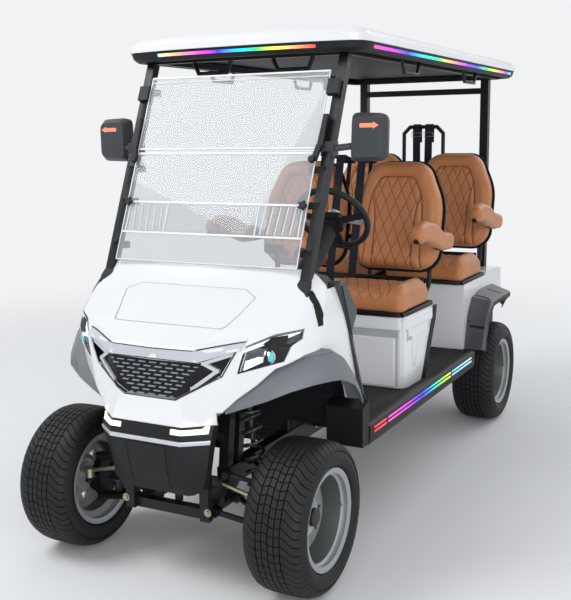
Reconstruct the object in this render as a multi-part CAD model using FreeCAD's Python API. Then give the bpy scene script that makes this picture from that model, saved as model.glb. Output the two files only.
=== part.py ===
import FreeCAD, Part
import math
import os

# Four-seat electric golf cart, in millimetres.
# +Z is up, the cart's nose points to -Y, and +X is the driver's side.
# The origin is on the ground under the middle of the whole cart.

# Wheels and axles
WHEELBASE = 2480.0
FRONT_AXLE_Y = -1345.0
REAR_AXLE_Y = FRONT_AXLE_Y + WHEELBASE
FRONT_TRACK = 1040.0
REAR_TRACK = 990.0
TYRE_RADIUS = 292.0
TYRE_WIDTH = 250.0
RIM_SEAT_RADIUS = 177.0
RIM_LIP_RADIUS = 194.0
RIM_WIDTH = 214.0
RIM_LIP = 9.0
WHEEL_STEPS = 40
RIM_SHEET = 4.0
RIM_WELL_RADIUS = 152.0
DISC_SHEET = 6.0
DISC_SLOTS = 8
HUB_RADIUS = 52.0
AXLE_Z = TYRE_RADIUS

# Running fits and gaps
FIT = 0.05
SEAT_GAP = 0.3

# Steering
STEER_DEG = 26.0
KINGPIN_INSET = 95.0
KINGPIN_RADIUS = 10.0
SPINDLE_RADIUS = 14.0
STEER_ARM = 92.0
BALL_Z = 325.0
STUD_RADIUS = 5.0
RACK_Z = 399.0
RACK_RADIUS = 11.0
TIE_ROD_RADIUS = 8.0
BOOT_RADIUS = 19.0
BOOT_END_X = 214.0
BOOT_FOLDS = 6
WHEEL_CENTRE = (325.0, -655.0, 1340.0)
COLUMN_SLOPE_DEG = 37.0
STEERING_WHEEL_RADIUS = 170.0
STEERING_RIM_RADIUS = 14.0
SHROUD_RADIUS = 44.0
SHROUD_FOOT = -440.0
GRIP_STEPS = 36
CUP_RADIUS = 38.0
CUP_X = (-395.0, 190.0, 395.0)
CUP_Y = -1075.0
CUP_FLOOR = 1086.0

# Frame
RAIL_X = 205.0
RAIL_WIDTH = 50.0
RAIL_BOTTOM = 372.0
RAIL_TOP = 448.0
SUBFRAME_Z = 276.0
SUBFRAME_FRONT_Y = FRONT_AXLE_Y - 106.0
SUBFRAME_REAR_Y = FRONT_AXLE_Y + 106.0
TUBE = 40.0
UPPER_ARM_Z = 440.0
TOWER_Z = 690.0
SPRING_RADIUS = 36.0

# Floor and sills
FLOOR_Z = 500.0
FLOOR_HALF = 572.0
FLOOR_FRONT_Y = -868.0
FLOOR_REAR_Y = 690.0
FLOOR_PLATE = 8.0
FLOOR_RIB = 4.0
FLOOR_RIB_PITCH = 28.0
SILL_OUTER_X = 604.0
SILL_TOP = 534.0
SILL_BOTTOM = 442.0
SILL_FRONT_Y = -905.0
SILL_REAR_Y = 560.0

# Front bodywork
PANEL = 6.0
BODY_HALF = 548.0
NOSE_Z = 655.0
LIP_Z = 934.0
COWL_TOP_Z = 1190.0
SEAM_TOP = (-1090.0, 1130.0)
SEAM_LOW = (-885.0, 685.0)

# Seats
SEAT_PITCH = 920.0
POD_HALF = 500.0
POD_FRONT_Y = -245.0
POD_TOP = 848.0
CUSHION_TOP = 975.0
CUSHION_BOTTOM = 866.0
CUSHION_IN = 24.0
CUSHION_OUT = 500.0
ROLL_INNER = 412.0
ROLL_RISE = 20.0
BACK_LEAN_DEG = 13.0
BACK_THICK = 110.0
SHELL_THICK = 14.0
BACK_FOOT = (150.0, 990.0)
BACK_LOW = 26.0
BACK_HIGH = 598.0
ARM_PIVOT = (174.0, 1158.0)
ARM_LENGTH = 424.0
ARM_PIN_RADIUS = 8.0
ARM_INNER = 520.0
ARM_OUTER = 586.0
ARM_BRACKET = 507.0

# Rear bodywork
REAR_POD_FRONT_Y = 688.0
REAR_POD_TOP = 870.0
REAR_DECK_TOP = 892.0
REAR_STEP_Y = 1128.0
REAR_BODY_END_Y = 1440.0
REAR_TAIL_LEAN = 20.0
REAR_WAIST_Z = 620.0
REAR_WELL_IN = 345.0

# Roof and pillars
ROOF_HALF = 564.0
ROOF_FRONT_Y = -942.0
ROOF_REAR_Y = 1468.0
ROOF_EDGE_Z = 2052.0
ROOF_TOP_Z = 2130.0
ROOF_BOW = 54.0
PILLAR = 38.0
PILLAR_FOOT = (456.0, -1192.0, 1118.0)
PILLAR_HEAD = (461.0, -818.0, 2006.0)
REAR_PILLAR_X = 392.0
REAR_PILLAR_Y = 1399.5
REAR_PILLAR_TUBE = 48.0

# Windscreen
SCREEN_HALF = 424.0
SCREEN_THICK = 5.0
SCREEN_OFFSET = 34.0
SCREEN_BOTTOM_Z = 1192.0
SCREEN_SPLIT_Z = 1634.0
SCREEN_TOP_Z = 1945.0
PILLAR_GAP = 0.5


def vec(x, y, z):
    return FreeCAD.Vector(x, y, z)


def block(x0, x1, y0, y1, z0, z1):
    return Part.makeBox(x1 - x0, y1 - y0, z1 - z0, vec(x0, y0, z0))


def rod(a, b, radius):
    start = vec(*a)
    run = vec(*b) - start
    return Part.makeCylinder(radius, run.Length, start, run)


def tube(a, b, radius, bore):
    return rod(a, b, radius).cut(rod(a, b, bore))


def fuse(shapes):
    whole = shapes[0].fuse(shapes[1:])
    return whole.removeSplitter()


def mirrored(shape):
    return shape.mirror(vec(0, 0, 0), vec(1, 0, 0))


def both_sides(shape):
    return [shape, mirrored(shape)]


def place(plane, a, b, level):
    """A point of a flat outline: plane names its two axes, level is along the third."""
    if plane == "XY":
        return vec(a, b, level)
    if plane == "YZ":
        return vec(level, a, b)
    return vec(a, level, b)


def rounded_edges(corners, plane, level):
    """Edges of a closed outline whose corners are (a, b, radius)."""
    ends = []
    for i, (a, b, radius) in enumerate(corners):
        before = corners[i - 1]
        after = corners[(i + 1) % len(corners)]
        ua = (before[0] - a, before[1] - b)
        ub = (after[0] - a, after[1] - b)
        la = math.hypot(*ua)
        lb = math.hypot(*ub)
        ua = (ua[0] / la, ua[1] / la)
        ub = (ub[0] / lb, ub[1] / lb)
        if radius <= 0:
            ends.append(((a, b), None, (a, b)))
            continue
        half = math.acos(max(-1.0, min(1.0, ua[0] * ub[0] + ua[1] * ub[1]))) / 2
        reach = radius / math.tan(half)
        mid = (ua[0] + ub[0], ua[1] + ub[1])
        size = math.hypot(*mid)
        mid = (mid[0] / size, mid[1] / size)
        inset = radius / math.sin(half) - radius
        ends.append((
            (a + ua[0] * reach, b + ua[1] * reach),
            (a + mid[0] * inset, b + mid[1] * inset),
            (a + ub[0] * reach, b + ub[1] * reach),
        ))
    edges = []
    for i, (start, mid, end) in enumerate(ends):
        if mid:
            points = [place(plane, *p, level) for p in (start, mid, end)]
            edges.append(Part.Arc(*points).toShape())
        follow = ends[(i + 1) % len(ends)][0]
        if math.dist(end, follow) > 0.001:
            edges.append(Part.makeLine(place(plane, *end, level), place(plane, *follow, level)))
    return edges


def outline(corners, plane, level):
    full = [c if len(c) == 3 else (c[0], c[1], 0.0) for c in corners]
    return Part.Wire(rounded_edges(full, plane, level))


def prism(corners, plane, low, high):
    """An outline with rounded corners, drawn at low and extruded to high."""
    face = Part.Face(outline(corners, plane, low))
    return face.extrude(place(plane, 0.0, 0.0, high - low))


def closed(points):
    return list(points) + [points[0]]


def ring(corners, plane, level, steps=3):
    """Points round an outline of (a, b, reach) corners, each rounded off in short steps."""
    points = []
    for i, corner in enumerate(corners):
        a, b = corner[:2]
        reach = corner[2] if len(corner) == 3 else 0.0
        if reach <= 0:
            points.append(place(plane, a, b, level))
            continue
        ends = []
        for other in (corners[i - 1], corners[(i + 1) % len(corners)]):
            share = reach / math.hypot(other[0] - a, other[1] - b)
            ends.append((a + (other[0] - a) * share, b + (other[1] - b) * share))
        for k in range(steps + 1):
            t = k / steps
            first = (1 - t) ** 2
            mid = 2 * t * (1 - t)
            last = t * t
            points.append(place(plane, first * ends[0][0] + mid * a + last * ends[1][0],
                                first * ends[0][1] + mid * b + last * ends[1][1], level))
    return points


def flat_faces(loop):
    """One or two flat faces that fill a loop of four points, or fewer where points meet."""
    corners = []
    for point in loop:
        if not corners or (point - corners[-1]).Length > 0.0001:
            corners.append(point)
    if len(corners) > 1 and (corners[0] - corners[-1]).Length < 0.0001:
        corners.pop()
    if len(corners) < 3:
        return []
    if len(corners) == 3:
        return [Part.Face(Part.makePolygon(closed(corners)))]
    a, b, c, d = corners
    normal = (b - a).cross(d - a)
    if abs((c - a).dot(normal)) < 0.000001 * normal.Length:
        return [Part.Face(Part.makePolygon(closed(corners)))]
    if (c - a).Length < (d - b).Length - 0.001:
        pair = ((a, b, c), (a, c, d))
    else:
        pair = ((a, b, d), (b, c, d))
    return [Part.Face(Part.makePolygon(closed(three))) for three in pair]


def skin(rings, loop=False):
    """A solid of flat facets between rings of equally many points; a loop has no ends."""
    faces = []
    pairs = list(zip(rings, rings[1:]))
    if loop:
        pairs.append((rings[-1], rings[0]))
    else:
        faces = [Part.Face(Part.makePolygon(closed(end))) for end in (rings[0], rings[-1])]
    for low, high in pairs:
        for i in range(len(low)):
            j = (i + 1) % len(low)
            faces += flat_faces([low[i], low[j], high[j], high[i]])
    solid = Part.makeSolid(Part.makeShell(faces))
    if solid.Volume < 0:
        solid.reverse()
    return solid


def flat_turned(profile, steps):
    """A ring of flat facets about the X axis from its closed (x, r) profile."""
    rings = []
    for k in range(steps):
        angle = 2 * math.pi * k / steps
        rings.append([vec(x, r * math.sin(angle), r * math.cos(angle)) for x, r in profile])
    return skin(rings, True)


def bent_rod(points, radius, sides=10):
    """A rod of flat facets along a line of points, mitred at each bend."""
    stops = [vec(*p) for p in points]
    runs = [(b - a).normalize() for a, b in zip(stops, stops[1:])]
    across = runs[0].cross(vec(0.13, 0.29, 0.95)).normalize()
    over = runs[0].cross(across)
    rings = [[stops[0] + across * (radius * math.cos(2 * math.pi * k / sides))
              + over * (radius * math.sin(2 * math.pi * k / sides)) for k in range(sides)]]
    for i, run in enumerate(runs):
        normal = run + runs[i + 1] if i + 1 < len(runs) else run
        moved = []
        for point in rings[-1]:
            travel = (stops[i + 1] - point).dot(normal) / run.dot(normal)
            moved.append(point + run * travel)
        rings.append(moved)
    return skin(rings)


def mirror_half(half):
    """A closed outline from the +X half, listed from the centre line outwards."""
    left = [(-p[0],) + tuple(p[1:]) for p in reversed(half) if p[0] > 0.01]
    return list(half) + left


def turned(profile, centre, axis=(1, 0, 0)):
    """A ring turned about the X axis from its (x, r) profile."""
    points = [vec(x, 0, r) for x, r in profile]
    face = Part.Face(Part.makePolygon(points + points[:1]))
    ring = face.revolve(vec(0, 0, 0), vec(*axis), 360)
    ring.translate(vec(*centre))
    return ring


def save(node, shapes):
    solids = []
    for shape in shapes:
        solids.extend(shape.Solids)
    whole = solids[0] if len(solids) == 1 else Part.makeCompound(solids)
    whole.exportStep("parts/" + node + ".step")


def wheel_x(front, side):
    return side * (FRONT_TRACK if front else REAR_TRACK) / 2


def kingpin_x(side):
    return side * (FRONT_TRACK / 2 - KINGPIN_INSET)


def tyre():
    """One tyre about the X axis: beads, sidewalls, shoulders and a flat crown."""
    half = TYRE_WIDTH / 2
    bead = RIM_WIDTH / 2 - RIM_LIP - SEAT_GAP
    outer = [
        (-bead, RIM_SEAT_RADIUS),
        (-bead, RIM_LIP_RADIUS + 2),
        (-half, RIM_SEAT_RADIUS + 60),
        (-0.90 * half, TYRE_RADIUS - 18),
        (-0.62 * half, TYRE_RADIUS),
    ]
    return flat_turned(outer + [(-x, r) for x, r in reversed(outer)], WHEEL_STEPS)


def rim_barrel():
    """The rolled steel rim: lips, bead seats, steps and the drop centre."""
    half = RIM_WIDTH / 2
    seat = RIM_SEAT_RADIUS - SEAT_GAP
    face = [
        (-half, RIM_LIP_RADIUS),
        (-half + 6, RIM_LIP_RADIUS),
        (-half + RIM_LIP, seat),
        (-half + 34, seat),
        (-half + 48, RIM_WELL_RADIUS),
        (-4.0, RIM_WELL_RADIUS),
        (14.0, RIM_WELL_RADIUS + 8),
        (40.0, RIM_WELL_RADIUS + 8),
        (50.0, RIM_WELL_RADIUS + 17),
        (half - 34, RIM_WELL_RADIUS + 17),
        (half - 26, seat),
        (half - RIM_LIP, seat),
        (half - 6, RIM_LIP_RADIUS),
        (half, RIM_LIP_RADIUS),
    ]
    back = [
        (-half, RIM_LIP_RADIUS - RIM_SHEET),
        (-half + RIM_LIP - RIM_SHEET, seat - RIM_SHEET),
        (-half + 32, seat - RIM_SHEET),
        (-half + 46, RIM_WELL_RADIUS - RIM_SHEET),
        (-2.0, RIM_WELL_RADIUS - RIM_SHEET),
        (48.0, RIM_WELL_RADIUS + 3),
        (half - 34 + RIM_SHEET, RIM_WELL_RADIUS + 12),
        (half - 24, seat - RIM_SHEET),
        (half - RIM_LIP + RIM_SHEET, seat - RIM_SHEET),
        (half, RIM_LIP_RADIUS - RIM_SHEET),
    ]
    return flat_turned(face + list(reversed(back)), WHEEL_STEPS)


def rim_disc():
    """The pressed wheel disc with its triangular slots."""
    outer = RIM_WELL_RADIUS - RIM_SHEET
    inner = HUB_RADIUS - 10
    face = [
        (0.0, inner), (0.0, HUB_RADIUS + 12), (16.0, HUB_RADIUS + 26), (16.0, outer - 22),
        (2.0, outer - 8), (2.0, outer + 2.5), (2.0 - DISC_SHEET, outer + 2.5),
        (2.0 - DISC_SHEET, outer - 12), (16.0 - DISC_SHEET, outer - 26),
        (16.0 - DISC_SHEET, HUB_RADIUS + 30), (-DISC_SHEET, HUB_RADIUS + 14), (-DISC_SHEET, inner),
    ]
    disc = flat_turned(face, WHEEL_STEPS)
    slot = prism([(-14.0, HUB_RADIUS + 34), (14.0, HUB_RADIUS + 34), (0.0, HUB_RADIUS + 64)], "YZ", -40, 60)
    slots = []
    for i in range(DISC_SLOTS):
        piece = slot.copy()
        piece.rotate(vec(0, 0, 0), vec(1, 0, 0), 360.0 * i / DISC_SLOTS)
        slots.append(piece)
    return disc.cut(slots)


def front_rim():
    bore = SPINDLE_RADIUS + FIT
    hub = [
        (-58.0, bore),
        (-58.0, 34.0),
        (-12.0, 34.0),
        (-12.0, HUB_RADIUS),
        (-DISC_SHEET, HUB_RADIUS),
        (14.0, HUB_RADIUS - 16),
        (44.0, HUB_RADIUS - 18),
        (48.0, 20.0),
        (48.0, 0.0),
        (30.0, 0.0),
        (30.0, bore),
    ]
    return fuse([rim_barrel(), rim_disc(), turned(hub, (0, 0, 0))])


def rear_rim():
    """The rear wheel with its drum and the axle shaft's outer end."""
    hub = [
        (-100.0, 0.0),
        (-100.0, SPINDLE_RADIUS),
        (-58.0, SPINDLE_RADIUS),
        (-58.0, 30.0),
        (-12.0, 30.0),
        (-12.0, HUB_RADIUS),
        (14.0, HUB_RADIUS - 16),
        (44.0, HUB_RADIUS - 18),
        (48.0, 20.0),
        (48.0, 0.0),
    ]
    return fuse([rim_barrel(), rim_disc(), turned(hub, (0, 0, 0))])


def wheels():
    for front in (True, False):
        rim = front_rim() if front else rear_rim()
        for side, name in ((1, "left"), (-1, "right")):
            y = FRONT_AXLE_Y if front else REAR_AXLE_Y
            for part, label in ((rim, "rim"), (tyre(), "tyre")):
                piece = part.copy() if side > 0 else mirrored(part)
                piece.translate(vec(wheel_x(front, side), y, AXLE_Z))
                end = "front" if front else "rear"
                save(label + "_" + end + "_" + name, [piece])


LOWER_BALL_Z = 212.0
UPPER_BALL_Z = 384.0


def drift():
    """How far the steering arm's end swings fore and aft over the steering range."""
    return STEER_ARM * (1 - math.cos(math.radians(STEER_DEG)))


def knuckle():
    """Left knuckle: upright, kingpin ends, spindle, brake plate and steering arm."""
    x = kingpin_x(1)
    y = FRONT_AXLE_Y
    upright = fuse([
        prism([
            (y - 26, LOWER_BALL_Z + 16, 6), (y + 26, LOWER_BALL_Z + 16, 6),
            (y + 34, AXLE_Z, 10), (y + 26, UPPER_BALL_Z - 16, 6),
            (y - 26, UPPER_BALL_Z - 16, 6), (y - 34, AXLE_Z, 10),
        ], "YZ", x - 16, x + 18),
        rod((x, y, LOWER_BALL_Z - 14), (x, y, UPPER_BALL_Z + 14), KINGPIN_RADIUS),
        rod((x + 10, y, AXLE_Z), (x + KINGPIN_INSET + 26, y, AXLE_Z), SPINDLE_RADIUS),
        rod((x + 16, y, AXLE_Z), (x + 24, y, AXLE_Z), 61.0),
    ])
    end_y = y - STEER_ARM
    arm = fuse([
        prism([
            (x - 12, y - 20), (x + 12, y - 20), (x + 2, end_y, 0), (x - 14, end_y, 0),
        ], "XY", BALL_Z - 22, BALL_Z - 8),
        rod((x - 6, end_y, BALL_Z - 22), (x - 6, end_y, BALL_Z - 8), 14.0),
        rod((x - 6, end_y, BALL_Z - 10), (x - 6, end_y, BALL_Z + 12), STUD_RADIUS),
    ])
    return fuse([upright, arm])


def steering_rack():
    """Rack bar, boots and both tie rods; the outer housings hang over the arm studs."""
    y = FRONT_AXLE_Y - STEER_ARM + drift() / 2
    end_x = kingpin_x(1) - 6
    parts = [rod((-BOOT_END_X, y, RACK_Z), (BOOT_END_X, y, RACK_Z), RACK_RADIUS)]
    for side in (1, -1):
        boot = []
        for i in range(BOOT_FOLDS):
            a = BOOT_END_X - 62 + 10 * i
            boot += [(side * a, BOOT_RADIUS - 4), (side * (a + 2), BOOT_RADIUS), (side * (a + 7), BOOT_RADIUS)]
        boot += [(side * (BOOT_END_X - 2), RACK_RADIUS - 1), (side * (BOOT_END_X - 62), RACK_RADIUS - 1)]
        folds = flat_turned(boot, 20)
        folds.translate(vec(0, y, RACK_Z))
        parts.append(folds)
        inner = (side * (BOOT_END_X - 2), y, RACK_Z)
        outer = (side * end_x, y, BALL_Z + 24)
        parts.append(rod(inner, outer, TIE_ROD_RADIUS))
        parts.append(rod((inner[0] - 9, y, RACK_Z), (inner[0] + 9, y, RACK_Z), 14.0))
        cup_low = BALL_Z - 2
        cup = rod((side * end_x, y, cup_low), (side * end_x, y, cup_low + 36), 20.0)
        hollow = rod((side * end_x, y, cup_low - 1), (side * end_x, y, cup_low + 20), 13.0)
        parts = [fuse(parts + [cup]).cut(hollow)]
    return parts[0]


def steering_gear():
    """The fixed rack housing, its pinion box and clamps to the subframe."""
    y = FRONT_AXLE_Y - STEER_ARM + drift() / 2
    end = BOOT_END_X - 62 - 52
    body = rod((-end, y, RACK_Z), (end, y, RACK_Z), 26.0)
    pinion = rod((60, y + 20, RACK_Z - 20), (60, y + 38, RACK_Z + 70), 24.0)
    bore = rod((-end - 1, y, RACK_Z), (end + 1, y, RACK_Z), RACK_RADIUS + FIT)
    straps = []
    for x in (-70.0, 20.0):
        straps.append(block(x - 14, x + 14, y - 8, y + 8, SUBFRAME_Z + TUBE / 2 + SEAT_GAP, RACK_Z - 20))
    gear = fuse([body, pinion] + straps).cut(bore)
    return gear


def square_tube(a, b, size=TUBE):
    """A square bar between two points that share all but one or two coordinates."""
    start = vec(*a)
    run = vec(*b) - start
    bar = Part.makeBox(size, size, run.Length, vec(-size / 2, -size / 2, 0))
    turn = FreeCAD.Rotation(vec(0, 0, 1), run)
    bar.Placement = FreeCAD.Placement(start, turn)
    return bar


RAIL_FRONT_Y = FRONT_AXLE_Y - 60.0
RAIL_REAR_Y = 1482.0
LOWER_RAIL_X = 148.0
POST_X = 172.0
POST_Y = -1477.0
TIE_Z = 515.0
BRACKET_Z = 701.8
OUTRIGGER_Y = (-640.0, -40.0, 520.0)
CROSS_Y = (-860.0, -240.0, 330.0, 760.0, 1340.0)


def main_frame():
    """Welded ladder frame with the front subframe and shock towers."""
    parts = []
    half = RAIL_WIDTH / 2
    for side in (1, -1):
        x = side * RAIL_X
        lower_x = side * LOWER_RAIL_X
        parts.append(block(x - half, x + half, RAIL_FRONT_Y, RAIL_REAR_Y, RAIL_BOTTOM, RAIL_TOP))
        parts.append(square_tube((lower_x, SUBFRAME_FRONT_Y, SUBFRAME_Z),
                                 (lower_x, SUBFRAME_REAR_Y, SUBFRAME_Z)))
        for y in (FRONT_AXLE_Y - 38, FRONT_AXLE_Y + 38):
            parts.append(square_tube((lower_x, y, SUBFRAME_Z), (x, y, RAIL_BOTTOM + 20)))
            parts.append(square_tube((x, y, RAIL_TOP - 10), (x + side * 20, y, TOWER_Z)))
        bar_x = x + side * 20
        parts.append(square_tube((bar_x, FRONT_AXLE_Y - 60, TOWER_Z), (bar_x, FRONT_AXLE_Y + 60, TOWER_Z)))
        parts.append(block(*sorted((bar_x, side * 314)), FRONT_AXLE_Y - 22, FRONT_AXLE_Y + 22,
                           BRACKET_Z, BRACKET_Z + 12))
        parts.append(block(*sorted((side * (POST_X - 20), side * (POST_X + 20))), POST_Y - 15, POST_Y + 15,
                           SUBFRAME_Z - 20, TOWER_Z - 34))
        parts.append(square_tube((side * POST_X, POST_Y, TOWER_Z - 60), (x, FRONT_AXLE_Y - 38, TIE_Z + 40), 30.0))
        for y in OUTRIGGER_Y:
            parts.append(block(*sorted((x, side * (FLOOR_HALF - 20))), y - 20, y + 20, RAIL_TOP - 40, RAIL_TOP))
    for y in CROSS_Y:
        parts.append(block(-RAIL_X, RAIL_X, y - 20, y + 20, RAIL_BOTTOM + 10, RAIL_TOP - 10))
    for y in (SUBFRAME_FRONT_Y, SUBFRAME_REAR_Y):
        parts.append(square_tube((-LOWER_RAIL_X - 20, y, SUBFRAME_Z), (LOWER_RAIL_X + 20, y, SUBFRAME_Z)))
    parts.append(square_tube((-RAIL_X, FRONT_AXLE_Y + 38, TIE_Z), (RAIL_X, FRONT_AXLE_Y + 38, TIE_Z)))
    return fuse(parts)


def suspension_arms():
    """Left lower and upper wishbones with eyes round the kingpin's ends."""
    x = kingpin_x(1)
    arms = []
    for level, root_x, root_z, spread, thick in (
        (LOWER_BALL_Z, LOWER_RAIL_X + 38.6, SUBFRAME_Z, 84.0, 15.0),
        (UPPER_BALL_Z, RAIL_X + 40.6, UPPER_ARM_Z, 96.0, 12.0),
    ):
        eye_low = level - 12
        eye_high = level + 12
        eye = rod((x, FRONT_AXLE_Y, eye_low), (x, FRONT_AXLE_Y, eye_high), 24.0)
        legs = []
        for side in (1, -1):
            root = (root_x, FRONT_AXLE_Y + side * spread, root_z)
            legs.append(bent_rod([root, (x - 12, FRONT_AXLE_Y + side * 13, level)], thick - 3, 8))
            legs.append(rod((root_x, root[1] - 20, root_z), (root_x, root[1] + 20, root_z), thick + 3))
        bore = rod((x, FRONT_AXLE_Y, eye_low - 4), (x, FRONT_AXLE_Y, eye_high + 4),
                   KINGPIN_RADIUS + FIT)
        arms.append(fuse([eye] + legs).cut(bore))
    lower, upper = arms
    pad = block(308, 366, FRONT_AXLE_Y - 36, FRONT_AXLE_Y + 36, LOWER_BALL_Z + 14, LOWER_BALL_Z + 26)
    lower = fuse([lower, pad])
    return [lower, upper]


def coil_over(low, high, radius):
    """A damper inside a coil spring, the coils drawn as close rings on the damper."""
    start = vec(*low)
    run = vec(*high) - start
    length = run.Length
    turns = 7
    lower = 70.0
    pitch = (length - lower - 34.0) / turns
    points = [(0.0, 0.0), (0.0, 16.0), (lower - 12, 16.0), (lower - 12, radius), (lower, radius)]
    for i in range(turns):
        base = lower + i * pitch
        points += [(base, 24.0), (base + pitch * 0.35, radius), (base + pitch * 0.65, radius)]
    points += [(length - 34, 24.0), (length - 34, radius), (length - 24, radius)]
    points += [(length - 24, 14.0), (length, 14.0), (length, 0.0)]
    shape = flat_turned(points, 16)
    turn = FreeCAD.Rotation(vec(1, 0, 0), run)
    shape.Placement = FreeCAD.Placement(start, turn)
    return shape


def shock_absorbers():
    front = coil_over((342, FRONT_AXLE_Y, LOWER_BALL_Z + 28.2), (290, FRONT_AXLE_Y, TOWER_Z + 10), SPRING_RADIUS)
    rear = coil_over((300, REAR_AXLE_Y + 72, AXLE_Z + 6.0), (280, REAR_AXLE_Y + 58, 660), SPRING_RADIUS)
    return both_sides(front) + both_sides(rear)


def rear_axle():
    """Axle tube with bearing ends, final drive and the drive motor."""
    end = REAR_TRACK / 2 - 62
    y = REAR_AXLE_Y
    tube_solid = rod((-end, y, AXLE_Z), (end, y, AXLE_Z), 34.0)
    case = fuse([
        rod((20, y, AXLE_Z), (120, y, AXLE_Z), 92.0),
        rod((-180, y - 50, AXLE_Z + 18), (30, y - 50, AXLE_Z + 18), 82.0),
    ])
    bores = []
    for side in (1, -1):
        bores.append(rod((side * (end - 60), y, AXLE_Z), (side * (end + 1), y, AXLE_Z),
                         SPINDLE_RADIUS + FIT))
    pads = []
    for side in (1, -1):
        pads.append(block(*sorted((side * 180, side * 230)), y - 30, y + 30,
                          AXLE_Z + 20, RAIL_BOTTOM))
        pads.append(block(*sorted((side * 270, side * 330)), y + 20, y + 110, AXLE_Z - 14, AXLE_Z + 4))
        plate = side * (end - 14)
        pads.append(rod((plate, y, AXLE_Z), (plate + side * 10, y, AXLE_Z), 100.0))
    return fuse([tube_solid, case] + pads).cut(bores)


def floor_pan():
    """Ribbed floor moulding between the front bulkhead and the rear body."""
    ribs = []
    count = int((2 * FLOOR_HALF - 24) // FLOOR_RIB_PITCH)
    start = -count * FLOOR_RIB_PITCH / 2
    edge = [(-FLOOR_HALF, FLOOR_Z - FLOOR_PLATE)]
    edge.append((-FLOOR_HALF, FLOOR_Z))
    for i in range(count):
        x = start + i * FLOOR_RIB_PITCH
        edge += [(x + 6, FLOOR_Z), (x + 9, FLOOR_Z + FLOOR_RIB)]
        edge += [(x + 19, FLOOR_Z + FLOOR_RIB), (x + 22, FLOOR_Z)]
    edge += [(FLOOR_HALF, FLOOR_Z), (FLOOR_HALF, FLOOR_Z - FLOOR_PLATE)]
    plate = prism(edge, "XZ", FLOOR_FRONT_Y, FLOOR_REAR_Y)
    for side in (1, -1):
        for y in OUTRIGGER_Y:
            ribs.append(block(*sorted((side * 300, side * (FLOOR_HALF - 30))), y - 16, y + 16,
                              RAIL_TOP, FLOOR_Z - FLOOR_PLATE))
        ribs.append(block(*sorted((side * (RAIL_X - 20), side * (RAIL_X + 20))), FLOOR_FRONT_Y, FLOOR_REAR_Y,
                          RAIL_TOP, FLOOR_Z - FLOOR_PLATE))
    return fuse([plate] + ribs)


# Sill light strips: height, front end, rear end
LED_SILL = (
    (SILL_TOP - 26, -860.0, 500.0),
    (SILL_TOP - 44, -860.0, 500.0),
)


def sills():
    """Rocker panels along the floor's edges, grooved for the light strips."""
    inner = FLOOR_HALF + SEAT_GAP
    corners = [
        (inner, SILL_BOTTOM + 6, 3), (SILL_OUTER_X - 8, SILL_BOTTOM, 4),
        (SILL_OUTER_X, SILL_BOTTOM + 20, 8), (SILL_OUTER_X, SILL_TOP - 12, 8),
        (SILL_OUTER_X - 12, SILL_TOP, 5), (inner, SILL_TOP, 3),
    ]
    sill = prism(corners, "XZ", SILL_FRONT_Y, SILL_REAR_Y)
    tread = block(FLOOR_HALF - 24, inner + 4, SILL_FRONT_Y + 40, SILL_REAR_Y,
                  FLOOR_Z + FLOOR_RIB + 1, FLOOR_Z + FLOOR_RIB + 7)
    sill = fuse([sill, tread])
    groove = []
    for z, y0, y1 in LED_SILL:
        groove.append(block(SILL_OUTER_X - 4, SILL_OUTER_X + 1, y0, y1, z - 4, z + 4))
    return both_sides(sill.cut(groove))


def light_strips():
    strips = []
    for z, y0, y1 in LED_SILL:
        strips += both_sides(block(SILL_OUTER_X - 4 + SEAT_GAP, SILL_OUTER_X + 1, y0 + 1, y1 - 1,
                                   z - 3.6, z + 3.6))
    strips += roof_strips()
    return strips


# Plan outlines of the cowl, from the centre line outwards, by height:
# z, then (x, y) of the nose corner, the lamp's inner end, the lamp's tip and the side
COWL_ROWS = (
    (NOSE_Z, (155, -1603), (250, -1522), (430, -1400), (530, -1290)),
    (742.0, (145, -1574), (290, -1512), (450, -1395), (540, -1280)),
    (893.0, (190, -1554), (338, -1492), (500, -1352), (546, -1262)),
    (LIP_Z, (180, -1550), (352, -1483), (510, -1345), (BODY_HALF, -1250)),
    (1000.0, (240, -1443), (380, -1412), (508, -1318), (546, -1232)),
    (1060.0, (236, -1346), (372, -1332), (494, -1272), (540, -1200)),
    (1120.0, (232, -1250), (360, -1246), (478, -1214), (530, -1160)),
    (COWL_TOP_Z, (228, -1180), (345, -1176), (455, -1158), (500, -1120)),
)
COWL_BACK_Y = -850.0
LAMP_TIP_REACH = 36.0


def cowl_section(row, inset):
    z, corner, inner, tip, flank = row
    half = [(0.0, corner[1] + inset)]
    for x, y in (corner, inner):
        half.append((x - inset * 0.6, y + inset * 0.9))
    half.append((tip[0] - inset * 0.6, tip[1] + inset * 0.9, LAMP_TIP_REACH))
    half.append((flank[0] - inset, flank[1]))
    half.append((flank[0] - inset, COWL_BACK_Y + (5 if inset else 0)))
    return ring(mirror_half(half), "XY", z)


def cowl_form(inset):
    """The nose and hood as one body; a positive inset gives the inside."""
    rows = list(COWL_ROWS)
    if inset:
        rows.insert(0, (NOSE_Z - 40,) + rows[0][1:])
        rows[-1] = (COWL_TOP_Z - inset,) + rows[-1][1:]
    return skin([cowl_section(row, inset) for row in rows])


# Arch line of the front wing, fore to aft: outer x, y, top edge z, lower edge z, ledge under the cowl
WING_LINE = (
    (251.0, -1514.0, 702.0, 686.0, 24.0),
    (284.0, -1490.0, 748.0, 704.0, 44.0),
    (415.0, -1404.0, 858.0, 752.0, 70.0),
    (505.0, -1322.0, 900.0, 784.0, 70.0),
    (592.0, -1240.0, 913.0, 792.0, 70.0),
    (610.0, -1165.0, 868.0, 782.0, 70.0),
    (612.0, -1095.0, 800.0, 752.0, 70.0),
    (608.0, -1020.0, 722.0, 694.0, 70.0),
    (604.0, -978.0, 660.0, 640.0, 70.0),
)


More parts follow.
